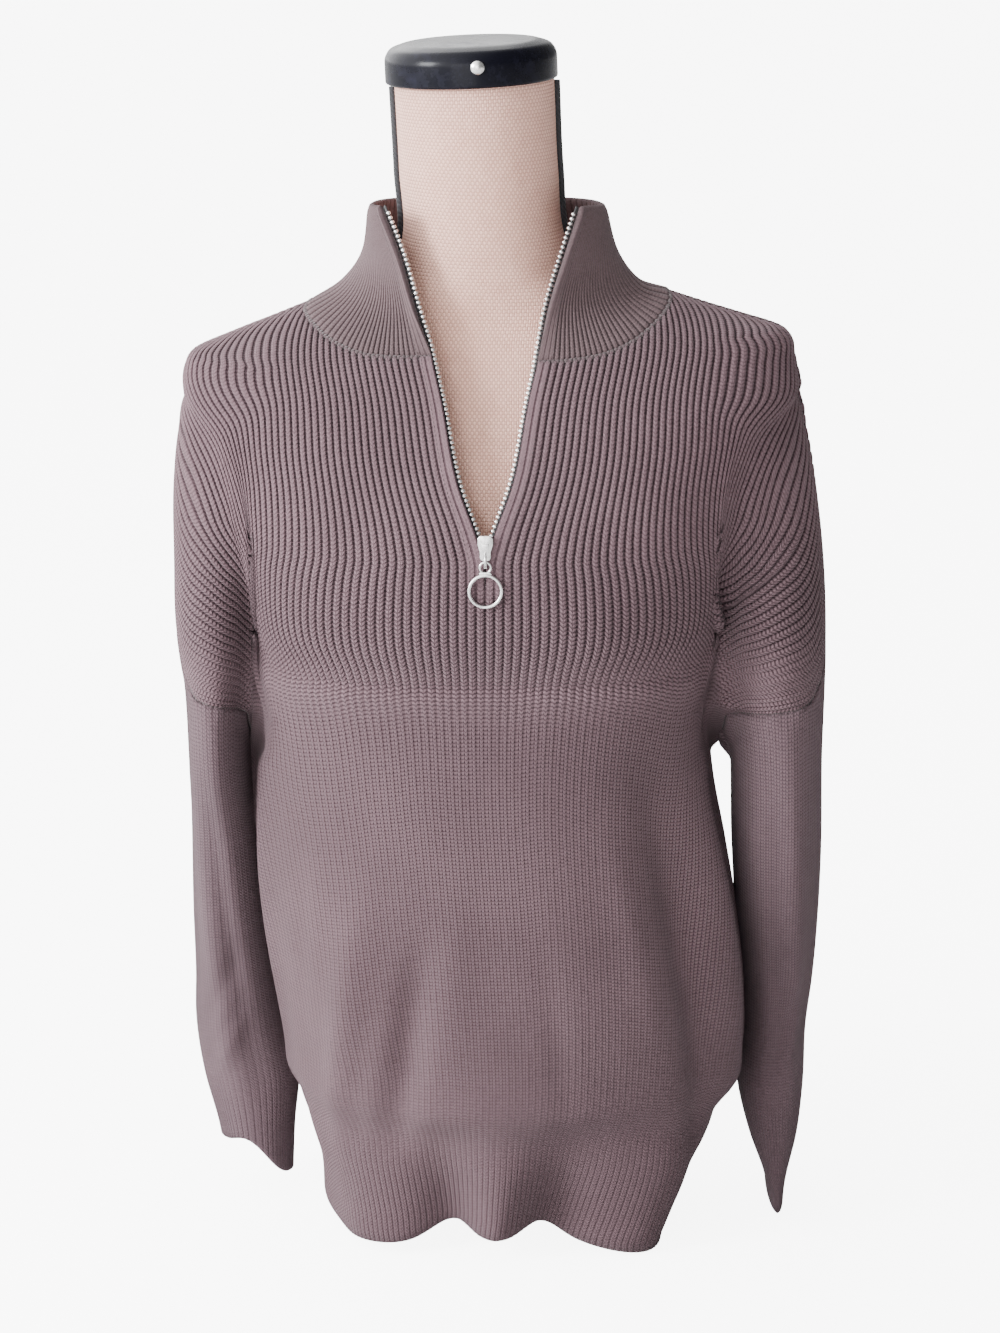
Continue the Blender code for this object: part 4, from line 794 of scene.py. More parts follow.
def knit_material(name, light, dark, stitch_depth, contrast=1.0):
    """Rib knit: legs of stitches on each crest, short bars across each groove, with painted shade in the
    grooves and a painted highlight on the crests.
    """
    paint = Paint(name, 0.9, Sheen_Weight=0.10, Sheen_Roughness=0.4,
                  Sheen_Tint=(0.95, 0.80, 0.84, 1), Specular_IOR_Level=0.15)
    rib, course = paint.uv("knit")
    plain = paint.add("Attribute", attribute_name="plain").outputs["Fac"]
    place = paint.object_place()
    height = paint.add("SeparateXYZ", (place,)).outputs[2]
    off_crest = paint.math("ABSOLUTE", paint.less(paint.math("FRACT", rib), 0.5))
    # Between the bust and the hem the rib is stretched, so that the columns at the
    # bottom of the grooves show beside those on the crests.
    stretched = paint.times(paint.ramp(height, 0.380, 0.460, 1.0, 0.0),
                           paint.ramp(height, 0.020, 0.140))
    twice = paint.math("FRACT", paint.plus(paint.times(rib, 2.0), 0.5))
    twice = paint.math("ABSOLUTE", paint.less(twice, 0.5))
    shallow = paint.less(1.0, paint.times(stretched, 0.5))
    off_crest = paint.math("MAXIMUM", paint.times(off_crest, shallow),
                           paint.times(twice, paint.times(stretched, 0.95)))
    on_crest = paint.ramp(off_crest, 0.28, 0.44, 1.0, 0.0)
    leg = paint.less(course, paint.times(off_crest, 1.3))
    leg = paint.math("PINGPONG", paint.math("FRACT", leg), 0.5)
    leg = paint.ramp(leg, 0.02, 0.34)
    split = paint.math("MAXIMUM", paint.ramp(off_crest, 0.0, 0.08, 0.45, 1.0), stretched)
    crest = paint.times(leg, split)
    bar = paint.math("PINGPONG", paint.math("FRACT", paint.less(course, 0.6)), 0.5)
    bar = paint.ramp(bar, 0.18, 0.44)
    groove = paint.times(bar, 0.62)
    stitch = paint.blend(on_crest, groove, crest)
    stitch = paint.times(stitch, paint.less(1.0, paint.times(plain, 0.6)))
    # High on the chest and low at the hem the stitches on the crests are smoother.
    even_stitch = paint.times(paint.plus(on_crest, 0.18), 0.72)
    calm = paint.plus(paint.ramp(height, 0.44, 0.56, 0.12, 0.62),
                      paint.ramp(height, 0.04, 0.20, 0.35, 0.0))
    stitch = paint.blend(calm, stitch, even_stitch)
    fibre = paint.noise(place, 1800, 3, 0.7)
    yarn = paint.noise(place, 420, 2)
    cloud = paint.noise(place, 9, 3)
    normal = paint.bump(fibre, 0.00025)
    normal = paint.bump(stitch, stitch_depth, normal)
    # The colour paints light and shade on the knit. The grooves and the gaps between stitches are painted
    # dark as shade. The crests are painted lighter as a highlight, more so where the rib is stretched. The
    # smooth strips are painted lighter because they lack shaded grooves. Lower down, this painted shade is
    # weaker.
    shade = paint.times(stitch, 0.85)
    lit = paint.plus(0.16, paint.times(stretched, 0.16))
    shade = paint.plus(shade, paint.times(on_crest, lit))
    shade = paint.plus(shade, paint.times(paint.less(yarn, 0.5), 0.6))
    shade = paint.plus(shade, paint.times(plain, 0.3))
    contrast = paint.ramp(height, 0.05, 0.33, 0.36 * contrast, contrast)
    shade = paint.plus(0.46, paint.times(paint.less(shade, 0.46), contrast))
    colour = paint.mix(paint.math("MINIMUM", paint.math("MAXIMUM", shade, 0.0), 1.0), dark, light)
    colour = paint.mix(paint.ramp(cloud, 0.3, 0.7, 0.0, 0.22), colour, dark)
    return paint.finish(colour, normal)


body_knit = knit_material("taupe_rib_knit", (0.164, 0.104, 0.118, 1), (0.020, 0.010, 0.013, 1), 0.0010)
# The sleeves' knit has weaker painted shade in its grooves than the body's.
sleeve_knit = knit_material("taupe_sleeve_knit", (0.146, 0.096, 0.109, 1), (0.036, 0.022, 0.027, 1),
                            0.0006, 0.8)


sewing_lines = {}        # where the zip's tapes are sewn to the front, on each side


def make_panel(name, face):
    """A front or back panel. Returns its edges at the armholes, at the top and at the zip."""
    cloth = Cloth()
    armholes, tops, slits, centre = {}, {}, {}, {}
    outer_ribs = rib_places(RIBS_HALF) + [RIBS_HALF]
    slit_row = LOW_LEVELS + int(round(SLIT_SHARE * HIGH_LEVELS))
    for side in (LEFT, RIGHT):
        surface = cloth_surface(face, side)
        hem, top, edge, slit = {}, {}, {}, {}
        for skin, ribs in (("outer", outer_ribs), ("inner", range(RIBS_HALF + 1))):
            columns, hem[skin], top[skin] = [], [], []
            for rib in ribs:
                z = rib_heights(face, surface, side, rib)
                point, normal = on_surface(surface, side, np.full(len(z), float(rib)), z)
                courses = courses_along(point)
                plain = np.zeros(len(z))
                if face == "front":
                    beside = np.clip((STRIP_RIBS + 0.5 - rib) / 0.5, 0, 1)
                    plain = beside * np.clip((z - SLIT_END + STRIP_BELOW) / STRIP_FADE, 0, 1)
                halves = [on_surface(surface, side, np.full(len(z), rib + step), z)[0]
                          for step in (-0.5, 0.5)]
                room = np.linalg.norm(halves[1] - halves[0], axis=1)
                depth = rib_depth(z) * groove_share(rib) * (1 - plain * (1 - STRIP_RELIEF))
                depth *= np.clip(room / CROWDED_FLAT, 0, 1) ** 2
                placed = point - (KNIT if skin == "inner" else depth[:, None]) * normal
                if skin == "outer" and rib == 0:
                    slits[side] = (point[slit_row - 3:], normal[slit_row - 3:])
                if rib == 0:
                    shared = (slit_row + 1 if face == "front" else len(z)) if skin in centre else 0
                    already = centre.get(skin, [])[:shared]
                    numbers = already + cloth.add(placed[shared:], 0.0, courses[shared:], plain[shared:])
                    centre[skin] = numbers
                    slit[skin] = [(row, numbers[row]) for row in range(slit_row, len(z))]
                else:
                    numbers = cloth.add(placed, side * float(rib), courses, plain)
                columns.append(numbers)
                hem[skin].append((rib, numbers[0]))
                top[skin].append((rib, numbers[-1]))
            grid_faces(cloth.faces, columns)
            edge[skin] = list(enumerate(columns[-1]))
        if face == "front":
            strip_z = np.linspace(SLIT_END - 0.006, panel_top(face, side, STRIP_RIBS) - 0.002, 60)
            sewing_lines[side] = on_surface(surface, side, np.full(60, STRIP_RIBS), strip_z)
        armhole = slice(LOW_LEVELS, None)
        armholes[side] = (point[armhole], normal[armhole])
        tops[side] = [on_surface(surface, side, np.array([float(rib)]),
                                 np.array([panel_top(face, side, rib)]))
                      for rib in np.arange(0, RIBS_HALF + 0.5, 0.5)]
        # The hem's rim is rounded by a line of points below it.
        rim = cloth.between(hem["outer"], hem["inner"], RIM_DROP)
        rim_numbers = cloth.add([point for _, point in rim], [side * float(rib) for rib, _ in rim],
                                np.zeros(len(rim)), 0.0)
        if side == RIGHT:
            rim_numbers[0] = first_rim
        first_rim = rim_numbers[0]
        line = [(rib, number) for (rib, _), number in zip(rim, rim_numbers)]
        bridge(cloth.faces, hem["outer"], line)
        bridge(cloth.faces, line, hem["inner"])
        bridge(cloth.faces, top["outer"], top["inner"])
        bridge(cloth.faces, edge["outer"], edge["inner"])
        if face == "front":
            bridge(cloth.faces, slit["outer"], slit["inner"])
    panel = cloth.make(name, body_knit)
    return panel, armholes, tops, slits


front, front_armholes, front_tops, zip_edges = make_panel("front_panel_knit", "front")
back, back_armholes, back_tops, _ = make_panel("back_panel_knit", "back")
for panel, node in ((front, "front_panel"), (back, "back_panel")):
    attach(panel, "garment")
    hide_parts(node)

# ------------------------------------------------------------ sleeves
# Each sleeve is a ribbed tube, linked to the armhole of the two panels. The cuff is
# knitted in one with it and hangs a little lower at the front.
SLEEVE_RIBS = 86
SLEEVE_DEPTH = 0.0005    # depth of its grooves at the armhole
SLEEVE_LEVELS = 84
SLEEVE_GAP = 0.0018      # clearance at the armhole seam
SEAM_FADE = 0.016        # length over which the sleeve leaves the seam's own shape
SEAM_STEP = 0.004        # share of the seam on each side that gives its direction
SLEEVE_RELIEF = ((0.03, 0.30, 0.39), (0.50, 0.75, 1.0))      # share of the depth at a height
# Each cuff's edge: height, slant, the angle where it is lowest, and its tuck.
CUFF_HEIGHT = {LEFT: 0.0265, RIGHT: 0.0120}
CUFF_SLANT = {LEFT: 0.0140, RIGHT: 0.0045}
CUFF_TURN = {LEFT: radians(10), RIGHT: radians(90)}
CUFF_TUCK = {LEFT: 0.0150, RIGHT: 0.0}
TUCK_MIDDLE, TUCK_SPREAD = radians(100), radians(38)

# Folds of the sleeves: angle_top, z_top, angle_low, z_low, spread and lift. Angles
# are in degrees from the inner side, with the front at 90.
SLEEVE_FOLDS = {
    LEFT: (
        (140, 0.390, 100, 0.040, 16, 0.0035),
        (112, 0.360, 72, 0.060, 14, -0.0030),
        (80, 0.200, 140, 0.120, 13, -0.0020),
        (75, 0.150, 130, 0.085, 11, 0.0018),
        (170, 0.330, 150, 0.110, 12, -0.0020),
        (210, 0.370, 240, 0.100, 18, 0.0030),
        (255, 0.330, 280, 0.070, 15, -0.0030),
        (290, 0.260, 215, 0.150, 12, 0.0022),
    ),
    RIGHT: (
        (75, 0.390, 100, 0.030, 15, -0.0035),
        (105, 0.370, 125, 0.060, 14, 0.0030),
        (70, 0.230, 130, 0.150, 12, 0.0020),
        (140, 0.190, 85, 0.100, 11, -0.0020),
        (160, 0.340, 165, 0.090, 12, 0.0016),
        (205, 0.380, 235, 0.080, 18, -0.0030),
        (250, 0.350, 275, 0.090, 16, 0.0030),
        (285, 0.250, 210, 0.160, 12, -0.0022),
    ),
}


def arm_point(side, angle, z, inset):
    """Points of a sleeve at angles from its inner side, inset from its outside."""
    inner = read(ARM[side], "inner", "z", z) + inset
    outer = read(ARM[side], "outer", "z", z) - inset
    depth = read(ARM[side], "depth", "z", z) - inset
    x = (inner + outer) / 2 - (outer - inner) / 2 * np.cos(angle)
    y = read(ARM[side], "y", "z", z) - depth * np.sin(angle)
    return np.stack((side * x, y, z), axis=-1)


def sleeve_lift(side, angle, z):
    """How far the folds move the sleeve outwards."""
    lift = np.zeros_like(z)
    for angle_top, z_top, angle_low, z_low, spread, height in SLEEVE_FOLDS[side]:
        t = np.clip((z_top - z) / (z_top - z_low), 0, 1)
        middle = angle_top + (angle_low - angle_top) * t
        lift += height * np.sin(pi * t) * np.exp(-((np.degrees(angle) - middle) / spread) ** 2)
    return lift


def cuff_edge(side, angle):
    """Height of the cuff's edge at an angle from the sleeve's inner side."""
    tuck = CUFF_TUCK[side] * np.exp(-((angle - TUCK_MIDDLE) / TUCK_SPREAD) ** 2)
    return CUFF_HEIGHT[side] - CUFF_SLANT[side] * np.cos(angle - CUFF_TURN[side]) + tuck


def along(line, length, places):
    """Points or directions of a line at places along its length."""
    return np.stack([np.interp(places, length, line[:, axis]) for axis in range(3)], axis=-1)


def armhole_loop(side):
    """Closed loop of the armhole: up the front from the underarm, down the back."""
    loops = []
    for part in (0, 1):
        front_line, back_line = front_armholes[side][part], back_armholes[side][part]
        bottom = (front_line[0] + back_line[0]) / 2
        top = (front_line[-1] + back_line[-1]) / 2
        loops.append(np.array([bottom, *front_line[1:-1], top, *back_line[-2:0:-1], bottom]))
    loop, out = loops
    return loop, unit(out)


def make_sleeve(name, side):
    """A sleeve, and the loop of its armhole seam with its outward directions."""
    loop, out = armhole_loop(side)
    length = run(loop)
    length /= length[-1]
    cloth = Cloth()
    borders = {}
    half_way = length[len(loop) // 2]
    for skin, ribs in (("outer", rib_places(SLEEVE_RIBS)), ("inner", range(SLEEVE_RIBS))):
        columns = []
        for rib in ribs:
            share = rib / SLEEVE_RIBS
            crest, normal = along(loop, length, share), along(out, length, share)
            after, before = (along(loop, length, (share + step) % 1)
                             for step in (SEAM_STEP, -SEAM_STEP))
            normal /= np.linalg.norm(normal)
            arm = {key: read(ARM[side], key, "z", crest[2]) for key in ARM_COLUMNS[1:]}
            across = (arm["inner"] + arm["outer"]) / 2 - side * crest[0]
            across = across / (arm["outer"] - arm["inner"]) * 2
            angle = np.arctan2(-(crest[1] - arm["y"]) / arm["depth"], across)
            if share > half_way:
                angle %= 2 * pi
            angle = 0.0 if rib == 0 else max(angle, 0.0) if share < half_way else angle
            down = np.cross(after - before, normal)
            down *= -np.sign(down[2]) / max(np.linalg.norm(down), 1e-9)
            inset = KNIT if skin == "inner" else groove_share(rib) * SLEEVE_DEPTH
            start = crest + SLEEVE_GAP * 0.7 * down - inset * normal
            cuff = cuff_edge(side, angle)
            z = np.linspace(start[2], cuff, SLEEVE_LEVELS + 1)
            lift = sleeve_lift(side, angle, z)
            if skin == "outer":
                inset = inset * np.interp(z, *SLEEVE_RELIEF)
            column = arm_point(side, angle, z, inset - lift)
            fade = eased(np.clip((start[2] - z) / SEAM_FADE, 0, 1))[:, None]
            column = column * fade + (start + (z - start[2])[:, None] * np.array((0, 0, 1))) * (1 - fade)
            columns.append(cloth.add(column, float(rib), courses_along(column[::-1])[::-1], 0.0))
        columns.append(columns[0])
        grid_faces(cloth.faces, columns)
        borders[skin] = [[(rib, column[row]) for rib, column in zip([*ribs, SLEEVE_RIBS], columns)]
                         for row in (0, -1)]
    rim = cloth.between(borders["outer"][1][:-1], borders["inner"][1], RIM_DROP)
    numbers = cloth.add([point for _, point in rim], np.arange(float(len(rim))),
                        np.zeros(len(rim)), 0.0)
    line = list(enumerate([*numbers, numbers[0]]))
    bridge(cloth.faces, borders["outer"][1], line)
    bridge(cloth.faces, line, borders["inner"][1])
    bridge(cloth.faces, borders["outer"][0], borders["inner"][0])
    return cloth.make(name, sleeve_knit, turn=SLEEVE_RIBS), loop, out


sleeves, armhole_seams = {}, {}
for side in (LEFT, RIGHT):
    name = "sleeve_" + SIDE_NAME[side]
    sleeves[side], *armhole_seams[side] = make_sleeve(name + "_knit", side)
    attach(sleeves[side], "garment")
    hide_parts(name)

# ------------------------------------------------------------ collar
# A stand collar of two layers of finer rib, folded at its top edge. Its ribs spread
# from the neckline and close up to a smooth face above.
COLLAR_THICKNESS = 0.0045
COLLAR_RIBS = 28         # ribs between the zip and the shoulder seam
COLLAR_RIB_DEPTH = 0.0012
COLLAR_COURSE = 0.0024   # height of one course
COLLAR_PLAIN = 0.86      # how smooth the knit becomes towards the fold
COLLAR_GAP = 0.0008      # room for the turn of the wall along the neckline
COLLAR_PINCH = 0.5       # how soon the collar turns back from the zip
COLLAR_LEVELS = 26
FOLD_RISE = (0, 0, 0.0013)
COLLAR = named_table(
    ("z_front", "z_side", "z_back", "left", "right", "edge_left", "edge_right",
     "y_front", "y_back"),
    (0.674, 0.682, 0.684, 0.1010, 0.1080, 0.0500, 0.0450, -0.0730, 0.0695),
    (0.706, 0.703, 0.706, 0.0865, 0.0925, 0.0605, 0.0560, -0.0620, 0.0690),
    (0.739, 0.735, 0.730, 0.0820, 0.0840, 0.0745, 0.0680, -0.0500, 0.0680),
)
COLLAR_ROWS = len(COLLAR["z_side"])
PLAIN_STRIP = 0.010      # width of the smooth strip beside the zip
SMOOTHER = (0.22, 0.45)  # share of the height where the ribs start to close up, and over how much
FOLD_START, FOLD_TURN = 0.93, 0.0010         # the top edge turns in from this share, by so much


def collar_row(row, side, face, shares):
    """Outer points of a collar row at shares of its way from the zip or the back."""
    level = {key: COLLAR[key][row] for key in COLLAR}
    side_x = level[SIDE_NAME[side]]
    if face == "front":
        start = (level["edge_" + SIDE_NAME[side]], level["y_front"], level["z_front"])
        middle = (side_x, COLLAR_PINCH * level["y_front"], (level["z_front"] + level["z_side"]) / 2)
    else:
        start = (0.0, level["y_back"], level["z_back"])
        middle = (side_x, level["y_back"], (level["z_back"] + level["z_side"]) / 2)
    t = np.linspace(0, 1, 200)[:, None]
    end = np.array((side_x, 0.0, level["z_side"]))
    path = np.array(start) * (1 - t) ** 2 + 2 * np.array(middle) * t * (1 - t) + end * t * t
    length = run(path)
    return along(path, length, shares * length[-1]) * (side, 1, 1)


def smooth_rows(grid, count):
    """Rows between the given ones, on a soft curve up each column."""
    rows = grid.shape[1]
    slopes = np.gradient(grid, axis=1)
    place = np.linspace(0, rows - 1, count)
    low = np.minimum(place.astype(int), rows - 2)
    t = (place - low)[None, :, None]
    a, b = grid[:, low], grid[:, low + 1]
    slope_a, slope_b = slopes[:, low], slopes[:, low + 1]
    return (a * (1 + 2 * t) * (1 - t) ** 2 + slope_a * t * (1 - t) ** 2
            + b * t * t * (3 - 2 * t) + slope_b * t * t * (t - 1))


def make_collar():
    """The collar, its front edges and the line of its seam."""
    surfaces = {(face, side): cloth_surface(face, side)
                for face in ("front", "back") for side in (LEFT, RIGHT)}
    quarters = ((LEFT, "front", 1), (LEFT, "back", -1), (RIGHT, "back", 1), (RIGHT, "front", -1))
    cloth = Cloth()
    borders = {}
    for skin in ("outer", "inner"):
        places, base, rows = [], [], []
        for quarter, (side, face, way) in enumerate(quarters):
            shares = np.arange(COLLAR_RIBS + 1) / COLLAR_RIBS
            if skin == "outer":
                shares = np.array(rib_places(COLLAR_RIBS) + [COLLAR_RIBS]) / COLLAR_RIBS
            rib = shares * RIBS_NECK
            z = read(NECKLINE[face], SIDE_NAME[side], "rib", rib)
            point, normal = on_surface(surfaces[face, side], side, rib, z)
            steps = step_sizes(point)
            share = summed(steps) / steps.sum()
            levels = np.array([collar_row(row, side, face, share) for row in range(COLLAR_ROWS)])
            order = range(len(rib))[::way]
            for index in order:
                ahead = shares[index] if way > 0 else 1 - shares[index]
                place = quarter * COLLAR_RIBS + ahead * COLLAR_RIBS
                if places and abs(places[-1] - place) < 1e-6:
                    base[-1] = (base[-1] + np.array((point[index], normal[index]))) / 2
                    continue
                places.append(place)
                base.append(np.array((point[index], normal[index])))
                rows.append(levels[:, index])
        base, rows, places = np.array(base), np.array(rows), np.array(places)
        out = unit(base[:, 1])
        rise = unit(np.cross(np.gradient(base[:, 0], axis=0), out))
        rise *= np.sign(rise[:, 2:3])
        start = base[:, 0] + rise * COLLAR_GAP
        grid = smooth_rows(np.concatenate((start[:, None], rows), axis=1), COLLAR_LEVELS + 1)
        normal = unit(np.cross(np.gradient(grid, axis=0), np.gradient(grid, axis=1)))
        normal *= np.sign(np.sum(normal * out[:, None], axis=2, keepdims=True))
        up = np.linspace(0, 1, COLLAR_LEVELS + 1)
        lengths = run(grid[:, 0])
        from_zip = np.minimum(lengths, lengths[-1] - lengths)
        strip = np.clip((PLAIN_STRIP + 0.002 - from_zip) / 0.002, 0, 1)[:, None]
        plain = np.maximum(strip, np.clip((up - SMOOTHER[0]) / SMOOTHER[1], 0, COLLAR_PLAIN)[None])
        if skin == "inner":
            grid = grid - COLLAR_THICKNESS * normal
            grid[:, 0] = start - KNIT * out
        else:
            edges = {LEFT: (grid[0].copy(), normal[0]), RIGHT: (grid[-1].copy(), normal[-1])}
            seam_line = (base[:, 0].copy(), out.copy())
            face_grid, face_normal, face_lengths = grid.copy(), normal.copy(), lengths
            shape = groove_share(places)[:, None]
            # The top edge turns over softly into the fold.
            over = np.clip((up - FOLD_START) / (1 - FOLD_START), 0, 1) ** 2 * FOLD_TURN
            grid = grid - (COLLAR_RIB_DEPTH * shape * (1 - plain) + over)[..., None] * normal
        columns = []
        for index, place in enumerate(places):
            column = grid[index]
            courses = summed(step_sizes(column) / COLLAR_COURSE)
            columns.append(cloth.add(column, place, courses, plain[index]))
        grid_faces(cloth.faces, columns)
        borders[skin] = ([(p, c[0]) for p, c in zip(places, columns)],
                         [(p, c[-1]) for p, c in zip(places, columns)],
                         list(enumerate(columns[0])), list(enumerate(columns[-1])))
    for index, (outer_line, inner_line) in enumerate(zip(borders["outer"], borders["inner"])):
        if index != 1:
            bridge(cloth.faces, outer_line, inner_line)
            continue
        fold = cloth.between(outer_line, inner_line, FOLD_RISE)
        numbers = cloth.add([point for _, point in fold], [place for place, _ in fold],
                            np.zeros(len(fold)), COLLAR_PLAIN)
        line = [(place, number) for (place, _), number in zip(fold, numbers)]
        bridge(cloth.faces, outer_line, line)
        bridge(cloth.faces, line, inner_line)
        for end, edge in ((0, 0), (-1, -1)):
            cloth.faces.append((outer_line[end][1], line[edge][1], inner_line[end][1]))
    collar = cloth.make("collar_knit_shell", collar_knit)
    return collar, edges, seam_line, (face_grid, face_normal, face_lengths)


collar_knit = knit_material("taupe_collar_knit", (0.122, 0.083, 0.088, 1), (0.038, 0.025, 0.027, 1), 0.0005)
collar, collar_edges, neck_seam, collar_face = make_collar()
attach(collar, "garment")
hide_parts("collar")

# ------------------------------------------------------------ linked seams and sewing
# Chains of linking stitches close the neckline, the armholes and the shoulders, and
# a row of lockstitches holds the zip's tapes beside the opening.
yarn_paint = Paint("linking_yarn", 0.9, Sheen_Weight=0.3, Sheen_Roughness=0.45)
yarn_fibre = yarn_paint.noise(yarn_paint.object_place(), 1500, 3)
linking_yarn = yarn_paint.finish(
    yarn_paint.mix(yarn_fibre, (0.035, 0.023, 0.025, 1), (0.085, 0.056, 0.061, 1)),
    yarn_paint.bump(yarn_fibre, 0.0003))
thread_paint = Paint("sewing_thread", 0.6)
thread_fibre = thread_paint.noise(thread_paint.object_place(), 2500, 2)
sewing_thread = thread_paint.finish(
    thread_paint.mix(thread_fibre, (0.040, 0.027, 0.029, 1), (0.070, 0.047, 0.050, 1)),
    thread_paint.bump(thread_fibre, 0.0001))


LINK_PITCH = 0.0030                  # length of one linking stitch
NECK_LINK, NECK_SINK = (0.0040, 0.0040, 0.0032), 0.0011      # its size, and depth in the seam
ARMHOLE_LINK, ARMHOLE_SINK = (0.0026, 0.0040, 0.0026), 0.0016
SHOULDER_LINK, SHOULDER_SINK = (0.0024, 0.0040, 0.0022), 0.0017
ZIP_STITCH, ZIP_STITCH_PITCH = (0.0006, 0.0026, 0.0006), 0.0031


def repeat_tree(name, rounding):
    """Geometry Nodes that set one rounded bead on each point of a mesh."""
    tree = bpy.data.node_groups.new(name, "GeometryNodeTree")
    tree.interface.new_socket(name="Places", in_out="INPUT", socket_type="NodeSocketGeometry")
    for size, value in (("Across", 0.002), ("Along", 0.003), ("Thick", 0.0012)):
        socket = tree.interface.new_socket(name=size, in_out="INPUT", socket_type="NodeSocketFloat")
        socket.default_value = value
    tree.interface.new_socket(name="Finish", in_out="INPUT", socket_type="NodeSocketMaterial")
    tree.interface.new_socket(name="Pieces", in_out="OUTPUT", socket_type="NodeSocketGeometry")
    nodes, links = tree.nodes, tree.links
    given, result = nodes.new("NodeGroupInput"), nodes.new("NodeGroupOutput")
    size = nodes.new("ShaderNodeCombineXYZ")
    bead = nodes.new("GeometryNodeMeshCube")
    rounded = nodes.new("GeometryNodeSubdivisionSurface")
    rounded.inputs["Level"].default_value = 1
    rounded.inputs["Edge Crease"].default_value = rounding
    smooth = nodes.new("GeometryNodeSetShadeSmooth")
    spread = nodes.new("GeometryNodeInstanceOnPoints")
    turn = nodes.new("FunctionNodeAxesToRotation")
    turn.primary_axis, turn.secondary_axis = "Z", "Y"
    real = nodes.new("GeometryNodeRealizeInstances")
    paint = nodes.new("GeometryNodeSetMaterial")
    for axis, label in enumerate(("Across", "Along", "Thick")):
        links.new(given.outputs[label], size.inputs[axis])
    for label, socket in (("out", "Primary Axis"), ("ahead", "Secondary Axis")):
        attribute = nodes.new("GeometryNodeInputNamedAttribute")
        attribute.data_type = "FLOAT_VECTOR"
        attribute.inputs["Name"].default_value = label
        links.new(attribute.outputs["Attribute"], turn.inputs[socket])
    links.new(size.outputs[0], bead.inputs["Size"])
    links.new(bead.outputs["Mesh"], rounded.inputs["Mesh"])
    links.new(rounded.outputs[0], smooth.inputs[0])
    links.new(given.outputs["Places"], spread.inputs["Points"])
    links.new(smooth.outputs[0], spread.inputs["Instance"])
    links.new(turn.outputs[0], spread.inputs["Rotation"])
    links.new(spread.outputs[0], real.inputs[0])
    links.new(real.outputs[0], paint.inputs[0])
    links.new(given.outputs["Finish"], paint.inputs["Material"])
    links.new(paint.outputs[0], result.inputs[0])
    return tree


def bead_row(name, tree, points, out, spacing, size, finish):
    """Beads at an even spacing along a line, made a plain mesh."""
    length = run(points)
    count = max(int(round(length[-1] / spacing)), 2)
    places = (np.arange(count) + 0.5) / count * length[-1]
    ahead = along(points, length, places + spacing / 4) - along(points, length, places - spacing / 4)
    mesh = bpy.data.meshes.new(name + "_places")
    mesh.from_pydata([tuple(map(float, point)) for point in along(points, length, places)], [], [])
    for label, values in (("out", along(out, length, places)), ("ahead", ahead)):
        layer = mesh.attributes.new(label, "FLOAT_VECTOR", "POINT")
        layer.data.foreach_set("vector", values.astype(np.float32).ravel())
    holder = bpy.data.objects.new(name + "_places", mesh)
    bpy.context.collection.objects.link(holder)
    modifier = holder.modifiers.new("repeat", "NODES")
    modifier.node_group = tree
    sockets = {item.name: item.identifier for item in tree.interface.items_tree
               if item.item_type == "SOCKET" and item.in_out == "INPUT"}
    for label, value in zip(("Across", "Along", "Thick"), size):
        modifier[sockets[label]] = value
    modifier[sockets["Finish"]] = finish
    graph = bpy.context.evaluated_depsgraph_get()
    result = bpy.data.meshes.new_from_object(holder.evaluated_get(graph))
    bpy.data.objects.remove(holder, do_unlink=True)
    result.name = name
    piece = bpy.data.objects.new(name, result)
    bpy.context.collection.objects.link(piece)
    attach(piece, "garment")
    return piece


stitch_tree = repeat_tree("stitch_row", 0.0)
neck_line, neck_out = neck_seam
neck_chain = bead_row("neck_linking", stitch_tree, neck_line - neck_out * NECK_SINK, neck_out,
                      LINK_PITCH, NECK_LINK, linking_yarn)
armhole_chains, shoulder_chains = {}, {}
for side in (LEFT, RIGHT):
    loop, out = armhole_seams[side]
    armhole_chains[side] = bead_row("armhole_linking_" + SIDE_NAME[side], stitch_tree,
                                    loop - out * ARMHOLE_SINK, out, LINK_PITCH,
                                    ARMHOLE_LINK, linking_yarn)
    pairs = [((a[0][0] + b[0][0]) / 2, a[1][0] + b[1][0])
             for a, b in zip(front_tops[side], back_tops[side])][2 * RIBS_NECK + 1:]
    line = np.array([point for point, _ in pairs])
    up = unit(np.array([normal for _, normal in pairs]))
    shoulder_chains[side] = bead_row("shoulder_linking_" + SIDE_NAME[side], stitch_tree,
                                     line - up * SHOULDER_SINK, up, LINK_PITCH,
                                     SHOULDER_LINK, linking_yarn)

for side in (LEFT, RIGHT):
    # The tapes' sewing runs up the panel and on up the collar, beside the zip.
    grid, out, lengths = (part[::-side] for part in collar_face)
    lengths = np.abs(lengths - lengths[0])
    column = int(np.searchsorted(lengths, PLAIN_STRIP))
    strip_line, strip_out = sewing_lines[side]
    points = np.concatenate((strip_line, grid[column, 1:-1]))
    outward = np.concatenate((strip_out, out[column, 1:-1]))
    row = bead_row("zip_sewing_" + SIDE_NAME[side], stitch_tree, points + outward * 0.00005, outward,
                   ZIP_STITCH_PITCH, ZIP_STITCH, sewing_thread)

# ------------------------------------------------------------ zip tapes and teeth
# Black woven tapes are sewn behind the edges of the opening and the collar. Nickel
# plated teeth are clamped along the free edge of each tape.
TAPE_THICKNESS = 0.0008
TAPE_BEHIND = 0.0012     # clearance behind the inside of the cloth
TAPE_SHOWS = 0.0019      # how far the tape reaches past the edge of the cloth
TAPE_COVERED = 0.0060    # how far it reaches under the cloth
TAPES_APART = 0.0006     # each tape's least distance from the middle
TOOTH_PITCH = 0.0034
TOOTH_SIZE = (0.0042, 0.0024, 0.0030)

